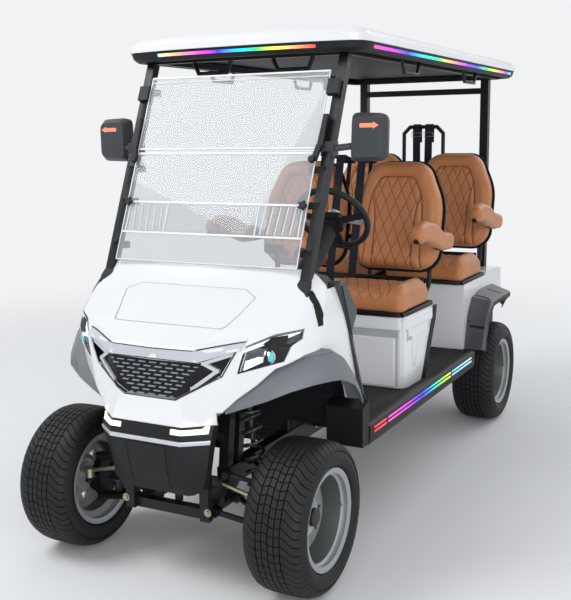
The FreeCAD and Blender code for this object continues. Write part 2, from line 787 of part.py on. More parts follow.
def arch_cut(drop):
    """Space under the wing line, as a prism across the cart."""
    corners = [(-1540.0, 560.0), (-1540.0, WING_LINE[0][2] - drop)]
    corners += [(y, top - drop) for _, y, top, _, _ in WING_LINE]
    corners += [(-960.0, 560.0)]
    return corners


def seam_plane_cut(shift):
    """Everything behind the slanted door-opening edge."""
    (y1, z1), (y0, z0) = SEAM_TOP, SEAM_LOW
    slope = (y1 - y0) / (z1 - z0)
    low = 400.0
    high = 1400.0
    return prism([
        (y0 + slope * (low - z0) + shift, low), (y0 + slope * (high - z0) + shift, high),
        (400.0, high), (400.0, low),
    ], "YZ", -700, 700)


HOOD_GAP = 3.0
# The hood panel's corners from above: front, widest, rear
HOOD_PANEL = ((246.0, -1446.0), (298.0, -1290.0), (236.0, -1254.0))


def hood_prism(gap):
    (xf, yf), (xw, yw), (xr, yr) = HOOD_PANEL
    half = [(0.0, yf - gap), (xf + gap, yf - gap, 24.0), (xw + gap, yw, 8.0), (xr + gap / 2, yr + gap, 8.0),
            (0.0, yr + gap)]
    rounded = [p if len(p) == 3 else (p[0], p[1], 0.0) for p in mirror_half(half)]
    clean = [p for p in rounded if abs(p[0]) > 0.01]
    return prism(clean, "XY", 950, 1250)


def cowl_shell():
    shell = cowl_form(0.0).cut(cowl_form(PANEL))
    arch = prism(arch_cut(0.0), "YZ", 255, 700)
    shell = shell.cut([arch, mirrored(arch), seam_plane_cut(0.0)])
    behind = block(-700, 700, -1150, -700, COWL_TOP_Z - 70, COWL_TOP_Z + 20)
    return shell.cut(behind)


# Headlamp opening seen from the front: x, z
LAMP_OUTLINE = (
    (330.0, 848.0), (356.0, 944.0), (430.0, 978.0), (510.0, 992.0),
    (510.0, 962.0), (486.0, 940.0), (464.0, 884.0),
)
# Half of the grille opening seen from the front: x, z
GRILLE_OUTLINE = ((0.0, 886.0), (196.0, 890.0), (330.0, 930.0), (282.0, 838.0), (114.0, 744.0), (0.0, 744.0))


def lamp_prism(grow, low, high):
    centre = (435.0, 915.0)
    corners = []
    for x, z in LAMP_OUTLINE:
        dx = x - centre[0]
        dz = z - centre[1]
        size = math.hypot(dx, dz)
        corners.append((x + grow * dx / size, z + grow * dz / size))
    return prism(corners, "XZ", low, high)


def grille_prism(grow, low, high):
    corners = []
    for x, z in GRILLE_OUTLINE:
        dz = z - 830.0
        size = math.hypot(x, dz)
        corners.append((x + grow * x / size, z + grow * dz / size))
    full = [(p[0], p[1], 0.0) for p in mirror_half(corners)]
    clean = [p for p in full if abs(p[0]) > 0.01]
    return prism(clean, "XZ", low, high)


def front_cowl(shell):
    lamps = both_sides(lamp_prism(0.0, -1700, -1250))
    grille = grille_prism(0.0, -1700, -1400)
    pillars = both_sides(pillar_bar(PILLAR + 2 * PILLAR_GAP))
    lip = cowl_form(PANEL - 1).cut(cowl_form(PANEL + 4)).common(hood_prism(8.0).cut(hood_prism(-10.0)))
    lip = lip.cut(hood_prism(HOOD_GAP / 2).cut(cowl_form(PANEL + SEAT_GAP)))
    return fuse([shell.cut(lamps + [grille, hood_prism(HOOD_GAP / 2)]), lip]).cut(pillars)


def hood_panel(shell):
    return shell.common(hood_prism(-HOOD_GAP / 2))


def set_back(form, depth):
    moved = form.copy()
    moved.translate(vec(0, depth, 0))
    return moved


def grille(form):
    """Black mesh panel set back in the nose, with rows of raised dashes."""
    panel = set_back(form, 16.0).cut(set_back(form, 26.0)).common(grille_prism(-SEAT_GAP, -1640, -1420))
    rim_ring = form.cut(set_back(form, 22.0))
    rim_ring = rim_ring.common(grille_prism(-SEAT_GAP, -1640, -1420).cut(grille_prism(-9.0, -1640, -1400)))
    panel = fuse([panel, rim_ring])
    dashes = []
    rows = 9
    for i in range(rows):
        z = 752.0 + i * 14.5
        reach = 96.0 + (z - 744.0) * 0.82
        count = int(reach // 24)
        shift = 12.0 if i % 2 else 0.0
        for side in (1, -1):
            for k in range(count):
                x = side * (shift + 24.0 * k)
                if side < 0 and x == 0.0:
                    continue
                dashes.append(block(x - 7, x + 7, -1640, -1400, z - 2.2, z + 2.2))
    skin = set_back(form, 11.0).cut(set_back(form, 18.0)).common(grille_prism(-12.0, -1640, -1420))
    bars = skin.common(Part.makeCompound(dashes))
    return fuse([panel] + bars.Solids)


def zigzag():
    """The bright Z-shaped strip at each end of the grille, seen from the front: x, z."""
    line = ((322.0, 922.0), (216.0, 886.0), (262.0, 858.0), (178.0, 792.0))
    wide = 6.5
    pieces = []
    for (xa, za), (xb, zb) in zip(line, line[1:]):
        run = math.hypot(xb - xa, zb - za)
        nx = -(zb - za) / run * wide
        nz = (xb - xa) / run * wide
        pieces.append(prism([(xa + nx, za + nz), (xb + nx, zb + nz), (xb - nx, zb - nz), (xa - nx, za - nz)],
                            "XZ", -1640, -1400))
        pieces.append(prism([(xb - wide, zb - wide), (xb + wide, zb - wide), (xb + wide, zb + wide),
                             (xb - wide, zb + wide)], "XZ", -1640, -1400))
    return fuse(pieces)


def grille_trim(form):
    band = set_back(form, 3.0).cut(set_back(form, 15.7))
    strip = band.common(zigzag().common(grille_prism(-10.0, -1640, -1400)))
    return both_sides(strip)


def headlamps(form):
    """Lamp bowls with a projector and a clear cover flush with the nose."""
    bowl_out = set_back(form, 4.0).common(lamp_prism(-SEAT_GAP, -1700, -1250))
    bowl_in = bowl_out.cut(set_back(form, 60.0))
    hollow = set_back(form, 3.0).cut(set_back(form, 50.0)).common(lamp_prism(-6.0, -1700, -1250))
    bowl = bowl_in.cut(hollow)
    barrel = rod((416.0, -1330.0, 905.0), (416.0, -1420.0, 905.0), 26.0)
    barrel = barrel.common(set_back(form, 14.0)).common(lamp_prism(-5.0, -1700, -1250))
    bowl = fuse([bowl, barrel])
    cover = form.cut(set_back(form, 3.7)).common(lamp_prism(-SEAT_GAP, -1700, -1250))
    return bowl, cover


def wing_section(x, y, top, low, ledge, wall):
    """A cross-section of the wing: outer skin with a ledge towards the body."""
    return [
        vec(x - ledge, y, top - 2), vec(x - 10, y, top), vec(x, y, top - 10),
        vec(x, y, low), vec(x - wall, y, low), vec(x - wall, y, top - 12 - wall),
        vec(x - 12 - wall, y, top - wall), vec(x - ledge, y, top - 2 - wall),
    ]


def front_wing():
    wires = []
    for row in WING_LINE:
        wires.append(wing_section(*row, 5.0))
    return skin(wires).cut(lamp_prism(2 * SEAT_GAP, -1600, -1200))


# The bumper cover by height: z, then (x, y) of its nose corner and its side
BUMPER_ROWS = (
    (380.0, (148, -1562), (166, -1546)),
    (404.0, (150, -1570), (202, -1538)),
    (470.0, (150, -1590), (216, -1534)),
    (600.0, (158, -1614), (246, -1548)),
    (NOSE_Z - SEAT_GAP, (156, -1602), (248, -1524)),
)
BUMPER_DEPTH = 36.0


def bumper_section(row, inset):
    z, corner, side = row
    half = [
        (0.0, corner[1] + inset), (corner[0] - inset * 0.5, corner[1] + inset),
        (side[0] - inset, side[1] + inset * 0.4), (side[0] - inset, side[1] + BUMPER_DEPTH + inset * 8),
    ]
    return ring(mirror_half(half), "XY", z)


def nose_bumper():
    """Moulded lower cover under the nose, hollow behind; also its outer form."""
    outer = skin([bumper_section(row, 0.0) for row in BUMPER_ROWS])
    floor = (BUMPER_ROWS[0][0] + PANEL,) + BUMPER_ROWS[0][1:]
    inner = skin([bumper_section(row, PANEL) for row in (floor,) + BUMPER_ROWS[1:]])
    return outer, outer.cut(inner)


def bumper_bands(outer):
    """Bright trim strip and the two lamp bars that cross the bumper's corners."""
    grown = outer.copy()
    grown.translate(vec(0, -5, 0))
    strip = grown.cut(outer).common(block(-260, 260, -1700, -1400, 588, 604))
    lamps = []
    for side in (1, -1):
        zone = block(*sorted((side * 112, side * 236)), -1700, -1400, 628, 646)
        lamps.append(grown.cut(outer).common(zone))
    return strip, lamps


def dash_ends():
    """Dark side trims that close the dash at the door openings."""
    (y1, z1), (y0, z0) = SEAM_TOP, SEAM_LOW
    slope = (y1 - y0) / (z1 - z0)

    def edge(z, shift):
        return y0 + slope * (z - z0) + shift
    corners = [
        (edge(1146, 1), 1146, 8), (edge(1146, 1) + 60, 1130, 20), (-920, 1003, 30),
        (edge(918, 1) + 14, 918, 20), (edge(640, 1) + 12, 640, 4), (edge(640, 1), 640, 4),
    ]
    trim = prism(corners, "YZ", BODY_HALF - 46, BODY_HALF + 6)
    return both_sides(trim)


BULKHEAD_HALF = 512.0
BULKHEAD_TOP = 1100.0
BULKHEAD_WALL = 20.0
TOE_LINE = ((-893.0, 655.0), (-1130.0, 1006.0))


def shaft_line():
    """The steering shaft from the column's foot to the gear's pinion."""
    gear_y = FRONT_AXLE_Y - STEER_ARM + drift() / 2
    return along_column(-328), (60.0, gear_y + 39, RACK_Z + 79)


def bulkhead_wall():
    profile = [
        (-870.0, FLOOR_Z + FLOOR_RIB + SEAT_GAP), (-905.0, FLOOR_Z + FLOOR_RIB + SEAT_GAP), (-905.0, 640.0),
        (BULKHEAD_Y, 1000.0), (BULKHEAD_Y, BULKHEAD_TOP), (BULKHEAD_Y + BULKHEAD_WALL, BULKHEAD_TOP),
        TOE_LINE[1], TOE_LINE[0],
        (-893.0, 520.0), (-870.0, 512.0),
    ]
    return prism(profile, "YZ", -BULKHEAD_HALF, BULKHEAD_HALF)


def front_bulkhead():
    """Black inner moulding: firewall, toe board and wheel-house posts."""
    posts = []
    for side in (1, -1):
        posts.append(prism([(-975, 452), (-908, 452), (-908, 636), (-975, 612)], "YZ",
                           *sorted((side * 440, side * 600))))
        posts.append(block(*sorted((side * 440, side * BULKHEAD_HALF)), -912, -903, 520, 630))
    skirt = block(-RAIL_X - 20, RAIL_X + 20, -905.0, -880.0, RAIL_TOP + SEAT_GAP, 520.0)
    floor_cut = block(-700, 700, FLOOR_FRONT_Y - SEAT_GAP, 0, 440, FLOOR_Z + FLOOR_RIB + SEAT_GAP)
    start, end = shaft_line()
    return fuse([bulkhead_wall(), skirt] + posts).cut([floor_cut, rod(start, end, 15.0)])


DASH_HALF = 494.0


def dash():
    """Dashboard moulding with an open shelf, cup holders and glove bins."""
    wall_face = BULKHEAD_Y + BULKHEAD_WALL + SEAT_GAP
    profile = [
        (BULKHEAD_Y, 1183, 0), (-1010, 1150, 40), (-975, 1080, 30), (-985, 960, 20), (-1040, 930, 10),
        (-1085, 1000, 0), (wall_face, 1030, 0), (wall_face, BULKHEAD_TOP + SEAT_GAP, 0),
        (BULKHEAD_Y, BULKHEAD_TOP + SEAT_GAP, 0),
    ]
    body = prism(profile, "YZ", -DASH_HALF, DASH_HALF)
    cuts = []
    for x0, x1 in ((-340.0, -130.0), (-80.0, 120.0)):
        cuts.append(block(x0, x1, -1080, -900, 985, 1105))
    for x in CUP_X:
        cuts.append(rod((x, CUP_Y, CUP_FLOOR), (x, CUP_Y, 1200), CUP_RADIUS))
    cuts.append(rod(along_column(SHROUD_FOOT - SEAT_GAP), along_column(0), SHROUD_RADIUS + SEAT_GAP))
    start, end = shaft_line()
    cuts.append(rod(start, end, 15.0))
    for side in (1, -1):
        x0, x1 = sorted((side * (PILLAR_FOOT[0] - PILLAR / 2 - 2), side * 520))
        cuts.append(block(x0, x1, -1200, -1120, 1090, 1200))
        cuts.append(prism([(side * 430, 1200), (side * 500, 1200), (side * 500, 1096)], "XZ", -1200, -900))
    return body.cut(cuts)


def column_axis():
    slope = math.radians(COLUMN_SLOPE_DEG)
    return (0.0, math.cos(slope), math.sin(slope))


def along_column(distance):
    ax = column_axis()
    return tuple(c + a * distance for c, a in zip(WHEEL_CENTRE, ax))


def steering_column():
    shaft = tube(along_column(-330), along_column(-62), 26.0, SPINDLE_RADIUS - 4 + FIT)
    shroud = tube(along_column(SHROUD_FOOT), along_column(-90), SHROUD_RADIUS, 20.0)
    start, end = shaft_line()
    lower = rod(start, end, 11.0)
    return fuse([shaft, shroud, lower])


def grip_ring(middle, thick):
    """The wheel's rim about the Z axis, as a ring of flat facets."""
    rings = []
    for k in range(GRIP_STEPS):
        turn = 2 * math.pi * k / GRIP_STEPS
        points = []
        for i in range(10):
            a = 2 * math.pi * i / 10
            reach = middle + thick * math.cos(a)
            points.append(vec(reach * math.cos(turn), reach * math.sin(turn), thick * math.sin(a)))
        rings.append(points)
    return skin(rings, True)


def steering_wheel():
    """Flat-bottomed rim, three spokes, hub pad and shaft, about the Z axis first."""
    big = STEERING_WHEEL_RADIUS
    rim = grip_ring(big - STEERING_RIM_RADIUS, STEERING_RIM_RADIUS)
    hub = prism([(-58, -44, 18), (58, -44, 18), (50, 46, 18), (-50, 46, 18)], "XY", -34, -8)
    spokes = []
    for a, b, wide in (((44, -8), (152, -24), 16), ((-44, -8), (-152, -24), 16), ((0, 30), (0, 152), 22)):
        run = math.hypot(b[0] - a[0], b[1] - a[1])
        nx = -(b[1] - a[1]) / run * wide
        ny = (b[0] - a[0]) / run * wide
        ends = []
        for (px, py), share, low, high in ((a, 1.0, -24, -14), (b, 0.7, -5, 5)):
            sx, sy = nx * share, ny * share
            ends.append([vec(px + sx, py + sy, low), vec(px - sx, py - sy, low),
                         vec(px - sx, py - sy, high), vec(px + sx, py + sy, high)])
        spokes.append(skin(ends))
    shaft = fuse([
        Part.makeCylinder(SPINDLE_RADIUS - 4, 100, vec(0, 0, -110)),
        Part.makeCylinder(24, 30, vec(0, 0, -54)),
    ])
    whole = fuse([rim, hub, shaft] + spokes)
    tilt = FreeCAD.Rotation(vec(1, 0, 0), -(90 - COLUMN_SLOPE_DEG))
    whole.Placement = FreeCAD.Placement(vec(*WHEEL_CENTRE), tilt)
    return whole


def pedals():
    """Accelerator and brake pads on arms from the toe board."""
    parts = []
    wall = bulkhead_wall()
    wall.translate(vec(0, SEAT_GAP, SEAT_GAP))
    for x, wide, z in ((215.0, 34.0, 640.0), (330.0, 48.0, 650.0)):
        arm = bent_rod([(x, -923.0, 692.0), (x, -842.0, z - 30)], 9.0)
        pad = prism([(-850, z - 60), (-838, z - 62), (-810, z + 20), (-822, z + 24)], "YZ", x - wide, x + wide)
        parts.append(fuse([arm, pad]).cut(wall))
    return parts


def pillar_point(z, forward=0.0):
    """A point of the front pillar's line at a height, moved square off it."""
    (_, y0, z0), (_, y1, z1) = PILLAR_FOOT, PILLAR_HEAD
    return y0 + (y1 - y0) * (z - z0) / (z1 - z0) - forward


PILLAR_ROOT_Z = 1000.0
BULKHEAD_Y = -1150.0


def pillar_bar(size):
    """The front pillar from its root inside the cowl to the roof."""
    x = PILLAR_FOOT[0]
    return square_tube((x, pillar_point(PILLAR_ROOT_Z), PILLAR_ROOT_Z), PILLAR_HEAD, size)


def windscreen_frame():
    """Front roof pillars with feet, and the clamps that hold the screen."""
    pillar = pillar_bar(PILLAR)
    root_y = pillar_point(PILLAR_ROOT_Z)
    bracket = block(PILLAR_FOOT[0] - 17, PILLAR_FOOT[0] + 17, root_y, BULKHEAD_Y - SEAT_GAP,
                    PILLAR_ROOT_Z + 10, PILLAR_ROOT_Z + 60)
    parts = [pillar, bracket]
    for z in (1250.0, 1426.0, 1560.0, 1880.0):
        y = pillar_point(z, SCREEN_OFFSET)
        lug = block(SCREEN_HALF - 28, PILLAR_FOOT[0] + 6, y + SCREEN_THICK + SEAT_GAP + 6, y + 42, z - 14, z + 14)
        parts.append(lug)
    side = fuse(parts)
    return both_sides(side)


def screen_pane(z0, z1):
    y0 = pillar_point(z0, SCREEN_OFFSET)
    y1 = pillar_point(z1, SCREEN_OFFSET)
    t = SCREEN_THICK
    return prism([(y0, z0), (y1, z1), (y1 + t, z1), (y0 + t, z0)], "YZ", -SCREEN_HALF, SCREEN_HALF)


def windscreen():
    return [screen_pane(SCREEN_BOTTOM_Z, SCREEN_SPLIT_Z - 2), screen_pane(SCREEN_SPLIT_Z + 2, SCREEN_TOP_Z)]


def mirrors():
    """Door mirrors on short arms clamped to the front pillars."""
    y = -925.0
    shell = (
        (y + 34, ((528, 1592, 20), (672, 1596, 24), (676, 1768, 28), (534, 1774, 24))),
        (y + 6, ((524, 1588, 24), (678, 1592, 30), (680, 1772, 32), (530, 1778, 30))),
        (y - 30, ((540, 1604, 24), (662, 1608, 26), (664, 1756, 30), (546, 1760, 26))),
    )
    body = skin([ring(corners, "XZ", level) for level, corners in shell])
    face = ((534, 1598, 18), (666, 1602, 22), (670, 1762, 26), (540, 1768, 22))
    body = body.cut(skin([ring(face, "XZ", y + 30), ring(face, "XZ", y + 40)]))
    arm = rod((PILLAR_FOOT[0] + 12, pillar_point(1640), 1640), (560, y, 1652), 13.0)
    clamp = block(PILLAR_FOOT[0] - 24, PILLAR_FOOT[0] + 28, pillar_point(1640) - 26,
                  pillar_point(1640) + 26, 1612, 1668)
    return both_sides(fuse([body, arm, clamp]).cut(pillar_bar(PILLAR + 2 * SEAT_GAP)))


def roof_ring(inset, z):
    """Plan outline of the roof at a height: bowed front, rounded corners."""
    front = ROOF_FRONT_Y + inset
    half = [
        (0.0, front), (170.0, front + ROOF_BOW * 0.04), (330.0 - inset * 0.3, front + ROOF_BOW * 0.24),
        (ROOF_HALF - inset, front + ROOF_BOW, 76.0 - inset * 0.1),
        (ROOF_HALF - inset, ROOF_REAR_Y - inset, 86.0 - inset * 0.1), (0.0, ROOF_REAR_Y - inset),
    ]
    return ring(mirror_half(half), "XY", z, 4)


# Roof skin, from its edge to the crown: distance in from the edge, height over the edge
ROOF_ROWS = ((0.0, 0.0), (0.0, 30.0), (14.0, 46.0), (50.0, 59.0), (120.0, 70.0),
             (230.0, ROOF_TOP_Z - ROOF_EDGE_Z))


def roof():
    """Moulded roof skin, crowned, hollow beneath."""
    outer = skin([roof_ring(inset, ROOF_EDGE_Z + rise) for inset, rise in ROOF_ROWS])
    inner = skin([roof_ring(inset + PANEL, ROOF_EDGE_Z + rise - (PANEL if rise else 10.0))
                  for inset, rise in ROOF_ROWS])
    return outer.cut(inner)


FASCIA_LOW = 2012.0
FASCIA_RING = 44.0
STRIP_DEPTH = 5.0


def fascia_form(inset):
    rows = ((24.0, FASCIA_LOW), (10.0, FASCIA_LOW + 14), (3.0, ROOF_EDGE_Z - SEAT_GAP))
    return skin([roof_ring(edge + inset, z) for edge, z in rows])


def strip_zones(grow):
    """Where the roof's light strips run: across the front and along both sides."""
    z0 = ROOF_EDGE_Z - 23 - grow
    z1 = ROOF_EDGE_Z - 11 + grow
    zones = [block(-372.0 - grow, 372.0 + grow, ROOF_FRONT_Y - 10, ROOF_FRONT_Y + 70, z0, z1)]
    zones += both_sides(block(ROOF_HALF - 40, ROOF_HALF + 10, ROOF_FRONT_Y + 180 - grow,
                              ROOF_REAR_Y - 120 + grow, z0, z1))
    return zones


def roof_fascia():
    """Black surround and ceiling under the roof skin."""
    inner = skin([roof_ring(FASCIA_RING, FASCIA_LOW - 1), roof_ring(FASCIA_RING, ROOF_EDGE_Z - 12)])
    core = fascia_form(STRIP_DEPTH + SEAT_GAP)
    outer = fascia_form(0.0)
    grooves = [outer.common(zone).cut(core) for zone in strip_zones(SEAT_GAP)]
    return outer.cut([inner] + grooves)


def roof_strips():
    """Light strips let into the fascia: front and both sides."""
    outer = fascia_form(0.0)
    core = fascia_form(STRIP_DEPTH)
    return [outer.common(zone).cut(core) for zone in strip_zones(0.0)]


PILLAR_BEAM_Z = 812.0
CANT_Z = 2022.0


def roof_frame():
    """Rear pillars, crossbars and the roof rails."""
    parts = []
    half = REAR_PILLAR_TUBE / 2
    for side in (1, -1):
        x = side * REAR_PILLAR_X
        parts.append(square_tube((x, REAR_PILLAR_Y, PILLAR_BEAM_Z - half), (x, REAR_PILLAR_Y, 2030), REAR_PILLAR_TUBE))
        parts.append(square_tube((side * (RAIL_X - half), REAR_PILLAR_Y, PILLAR_BEAM_Z), (x, REAR_PILLAR_Y, PILLAR_BEAM_Z),
                                 REAR_PILLAR_TUBE))
        parts.append(square_tube((side * RAIL_X, REAR_PILLAR_Y, RAIL_TOP + SEAT_GAP),
                                 (side * RAIL_X, REAR_PILLAR_Y, PILLAR_BEAM_Z), REAR_PILLAR_TUBE))
        rail_x = side * (PILLAR_HEAD[0] - 6)
        parts.append(square_tube((rail_x, PILLAR_HEAD[1] + 4, CANT_Z), (rail_x, REAR_PILLAR_Y, CANT_Z), 30.0))
    parts.append(square_tube((-REAR_PILLAR_X, REAR_PILLAR_Y, 1944), (REAR_PILLAR_X, REAR_PILLAR_Y, 1944), 34.0))
    parts.append(square_tube((-455, REAR_PILLAR_Y - 6, CANT_Z), (455, REAR_PILLAR_Y - 6, CANT_Z), 30.0))
    parts.append(square_tube((-455, PILLAR_HEAD[1] + 20, CANT_Z), (455, PILLAR_HEAD[1] + 20, CANT_Z), 30.0))
    return fuse(parts)


HANDLE_DROP = 1962.0
HANDLE_SLANT = 34.0
HANDLE_FOOT = 8.0
# Grab handles under the roof: x, y of the two feet
HANDLES = (
    ((-300.0, -760.0), (-90.0, -760.0)),
    ((90.0, -760.0), (300.0, -760.0)),
    ((496.0, -300.0), (496.0, -60.0)),
    ((-496.0, -300.0), (-496.0, -60.0)),
    ((496.0, 600.0), (496.0, 840.0)),
    ((-496.0, 600.0), (-496.0, 840.0)),
)


def grab_handles():
    """Bent rods whose legs slant inwards from the ceiling to the grip."""
    out = []
    top = ROOF_EDGE_Z - 12.0 - SEAT_GAP
    for (xa, ya), (xb, yb) in HANDLES:
        share = HANDLE_SLANT / math.hypot(xb - xa, yb - ya)
        dx = (xb - xa) * share
        dy = (yb - ya) * share
        out.append(bent_rod([
            (xa, ya, top), (xa, ya, top - HANDLE_FOOT), (xa + dx, ya + dy, HANDLE_DROP),
            (xb - dx, yb - dy, HANDLE_DROP), (xb, yb, top - HANDLE_FOOT), (xb, yb, top),
        ], 9.0, 12))
    return out


def pod_ring(inset, low):
    """Plan outline of the front seat box at the floor or at its top."""
    back = (15.0 if low else 178.0) - inset
    x = POD_HALF + (4 if low else 0) - inset
    z = FLOOR_Z + FLOOR_RIB + SEAT_GAP - inset if low else POD_TOP - inset
    half = [(0.0, POD_FRONT_Y + inset), (x, POD_FRONT_Y + inset, 50.0 - inset),
            (x + 10, back, 20.0), (0.0, back)]
    return ring(mirror_half(half), "XY", z)


def front_seat_pod():
    """White moulded seat box, hollow, tapering towards the floor at the back."""
    outer = skin([pod_ring(0.0, True), pod_ring(0.0, False)])
    return outer.cut(skin([pod_ring(PANEL, True), pod_ring(PANEL, False)]))


def battery():
    return block(-330, 330, -190, -20, FLOOR_Z + FLOOR_RIB + SEAT_GAP, 770)


def rear_body():
    """White rear moulding: seat box, deck and wheel wells, hollow."""
    low = FLOOR_Z + FLOOR_RIB + SEAT_GAP
    outer = prism([
        (REAR_POD_FRONT_Y, low, 0), (REAR_POD_FRONT_Y, REAR_POD_TOP, 12),
        (REAR_STEP_Y - 20, REAR_POD_TOP, 10), (REAR_STEP_Y, REAR_DECK_TOP, 10),
        (REAR_BODY_END_Y, REAR_DECK_TOP - 14, 30), (REAR_BODY_END_Y + REAR_TAIL_LEAN, REAR_WAIST_Z, 10),
        (REAR_BODY_END_Y, low, 10),
    ], "YZ", -POD_HALF, POD_HALF)
    inner = prism([
        (REAR_POD_FRONT_Y + PANEL, 400), (REAR_POD_FRONT_Y + PANEL, REAR_POD_TOP - PANEL),
        (REAR_STEP_Y, REAR_POD_TOP - PANEL), (REAR_BODY_END_Y - PANEL, REAR_DECK_TOP - 14 - PANEL),
        (REAR_BODY_END_Y + 14, 620), (REAR_BODY_END_Y - PANEL, 400),
    ], "YZ", -POD_HALF + PANEL, POD_HALF - PANEL)
    well_y0 = REAR_AXLE_Y - TYRE_RADIUS - 50
    wells = []
    liners = []
    for s in (1, -1):
        profile = [(well_y0, 440), (well_y0 + 20, 640, 60), (well_y0 + 110, 730, 60),
                   (REAR_BODY_END_Y - 60, 730, 60), (REAR_BODY_END_Y + 60, 600, 0), (REAR_BODY_END_Y + 60, 440)]
        wells.append(prism(profile, "YZ", *sorted((s * REAR_WELL_IN, s * 700))))
        liners.append(prism([(well_y0 - PANEL, 505), (well_y0 + 20 - PANEL, 644, 60),
                             (well_y0 + 108, 730 + PANEL, 60),
                             (REAR_BODY_END_Y - 6, 730 + PANEL, 60), (REAR_BODY_END_Y + 4, 660, 0),
                             (REAR_BODY_END_Y + 4, 505)],
                            "YZ", *sorted((s * (REAR_WELL_IN - PANEL), s * (POD_HALF - 2)))))
    shell = fuse([outer.cut(inner)] + [x.common(outer) for x in liners])
    holes = []
    for side in (1, -1):
        x = side * REAR_PILLAR_X
        holes.append(square_tube((x, REAR_PILLAR_Y, PILLAR_BEAM_Z), (x, REAR_PILLAR_Y, 1000), REAR_PILLAR_TUBE + 1))
    return shell.cut(wells + holes)


# Rear wing, fore to aft: outer x, then y and z of its outer corner, then how much
# further from the axle its edge on the body lies
REAR_WING = (
    (622.0, 690.0, 512.0, -20.0),
    (624.0, 704.0, 594.0, -28.0),
    (624.0, 752.0, 692.0, -8.0),
    (624.0, 846.0, 762.0, 22.0),
    (624.0, 1010.0, 770.0, 32.0),
    (618.0, 1240.0, 764.0, 34.0),
    (600.0, 1306.0, 752.0, 28.0),
    (562.0, 1376.0, 714.0, 22.0),
    (526.0, 1426.0, 652.0, 14.0),
)
REAR_WING_LIP = 34.0


def rear_wing():
    """Dark flare over the rear wheel, fixed to the body's side, with a lip round its mouth."""
    wall = 5.0
    wires = []
    for x, y, z, rise in REAR_WING:
        away = math.hypot(REAR_AXLE_Y - y, AXLE_Z - z)

        def at(across, depth):
            return vec(across, y + (REAR_AXLE_Y - y) / away * depth, z + (AXLE_Z - z) / away * depth)
        inner = POD_HALF + SEAT_GAP
        wires.append([
            at(inner, -rise), at(x - 14, 0.0), at(x, 10.0), at(x, REAR_WING_LIP), at(x - wall, REAR_WING_LIP),
            at(x - wall, 12.0), at(x - 16, wall), at(inner, wall - rise),
        ])
    return both_sides(skin(wires))


def seat_cushion(shift):
    """Soft seat cushion, plain, with its raised outer roll."""
    y0 = POD_FRONT_Y - 18 + shift
    lift = REAR_POD_TOP - POD_TOP if shift else 0.0
    middle = [(y0, CUSHION_BOTTOM, 20), (y0 + 4, CUSHION_TOP - 22, 34), (y0 + 90, CUSHION_TOP, 60),
              (y0 + 398, CUSHION_TOP - 20, 20), (y0 + 406, CUSHION_BOTTOM, 10)]
    roll = [(y0 + 6, CUSHION_BOTTOM, 20), (y0 + 10, CUSHION_TOP - 20, 34), (y0 + 100, CUSHION_TOP + 6, 60),
            (y0 + 370, CUSHION_TOP + ROLL_RISE, 40), (y0 + 404, CUSHION_TOP - 20, 20),
            (y0 + 406, CUSHION_BOTTOM, 10)]
    body = fuse([prism(middle, "YZ", CUSHION_IN, ROLL_INNER), prism(roll, "YZ", ROLL_INNER, CUSHION_OUT)])
    body.translate(vec(0, 0, lift))
    return both_sides(body)


def back_frame(shift):
    lift = REAR_POD_TOP - POD_TOP if shift else 0.0
    return (BACK_FOOT[0] + shift, BACK_FOOT[1] + lift)


def leaned(shape, shift):
    """Stands a part drawn upright at the back's foot, leaned back."""
    y, z = back_frame(shift)
    turn = FreeCAD.Rotation(vec(1, 0, 0), -BACK_LEAN_DEG)
    shape.Placement = FreeCAD.Placement(vec(0, y, z), turn)
    return shape


# The back's outline: x, height above its foot, corner radius
BACK_OUTLINE = (
    (20.0, BACK_LOW, 112.0), (506.0, BACK_LOW, 112.0), (506.0, 388.0, 300.0), (411.0, BACK_HIGH, 110.0),
    (115.0, BACK_HIGH, 110.0), (20.0, 388.0, 300.0),
)


def backrest(shift):
    pad = prism(BACK_OUTLINE, "XZ", 0.0, BACK_THICK - SHELL_THICK - SEAT_GAP)
    return both_sides(leaned(pad, shift))


def seat_shell(shift):
    shell = prism(BACK_OUTLINE, "XZ", BACK_THICK - SHELL_THICK, BACK_THICK)
    return leaned(shell, shift)


def seat_frames():
    """Seat plates, hinge brackets, back tubes and the armrest pins, one row each."""
    rows = []
    for shift in (0.0, SEAT_PITCH):
        lift = REAR_POD_TOP - POD_TOP if shift else 0.0
        plate_z = POD_TOP + lift + SEAT_GAP
        parts = [block(-POD_HALF + 4, POD_HALF - 4, POD_FRONT_Y + shift + 2, 170 + shift,
                       plate_z, CUSHION_BOTTOM + lift - SEAT_GAP)]
        y, z = back_frame(shift)
        lean = math.radians(BACK_LEAN_DEG)
        for x in (110.0, 440.0, -110.0, -440.0):
            def at(up, back):
                return (x, y + math.sin(lean) * up + math.cos(lean) * back,
                        z + math.cos(lean) * up - math.sin(lean) * back)
            foot = (x, 164 + shift, plate_z + 10)
            bend = (x, 262 + shift, plate_z + 76)
            behind = BACK_THICK + 12.3
            parts.append(bent_rod([foot, bend, at(60.0, behind), at(420.0, behind)], 12.0))
        ends = [y + math.sin(lean) * 200 + math.cos(lean) * (BACK_THICK + 12.3),
                z + math.cos(lean) * 200 - math.sin(lean) * (BACK_THICK + 12.3)]
        reach = ARM_BRACKET + 7
        parts.append(rod((-reach, *ends), (reach, *ends), 12.0))
        for side in (1, -1):
            py, pz = ARM_PIVOT[0] + shift, ARM_PIVOT[1] + lift
            parts.append(block(*sorted((side * ARM_BRACKET, side * reach)), py - 26, ends[0] + 16,
                               pz - 24, pz + 26))
            parts.append(rod((side * ARM_BRACKET, py, pz), (side * (ARM_OUTER - 3), py, pz), ARM_PIN_RADIUS))
        rows.append(fuse(parts))
    return rows


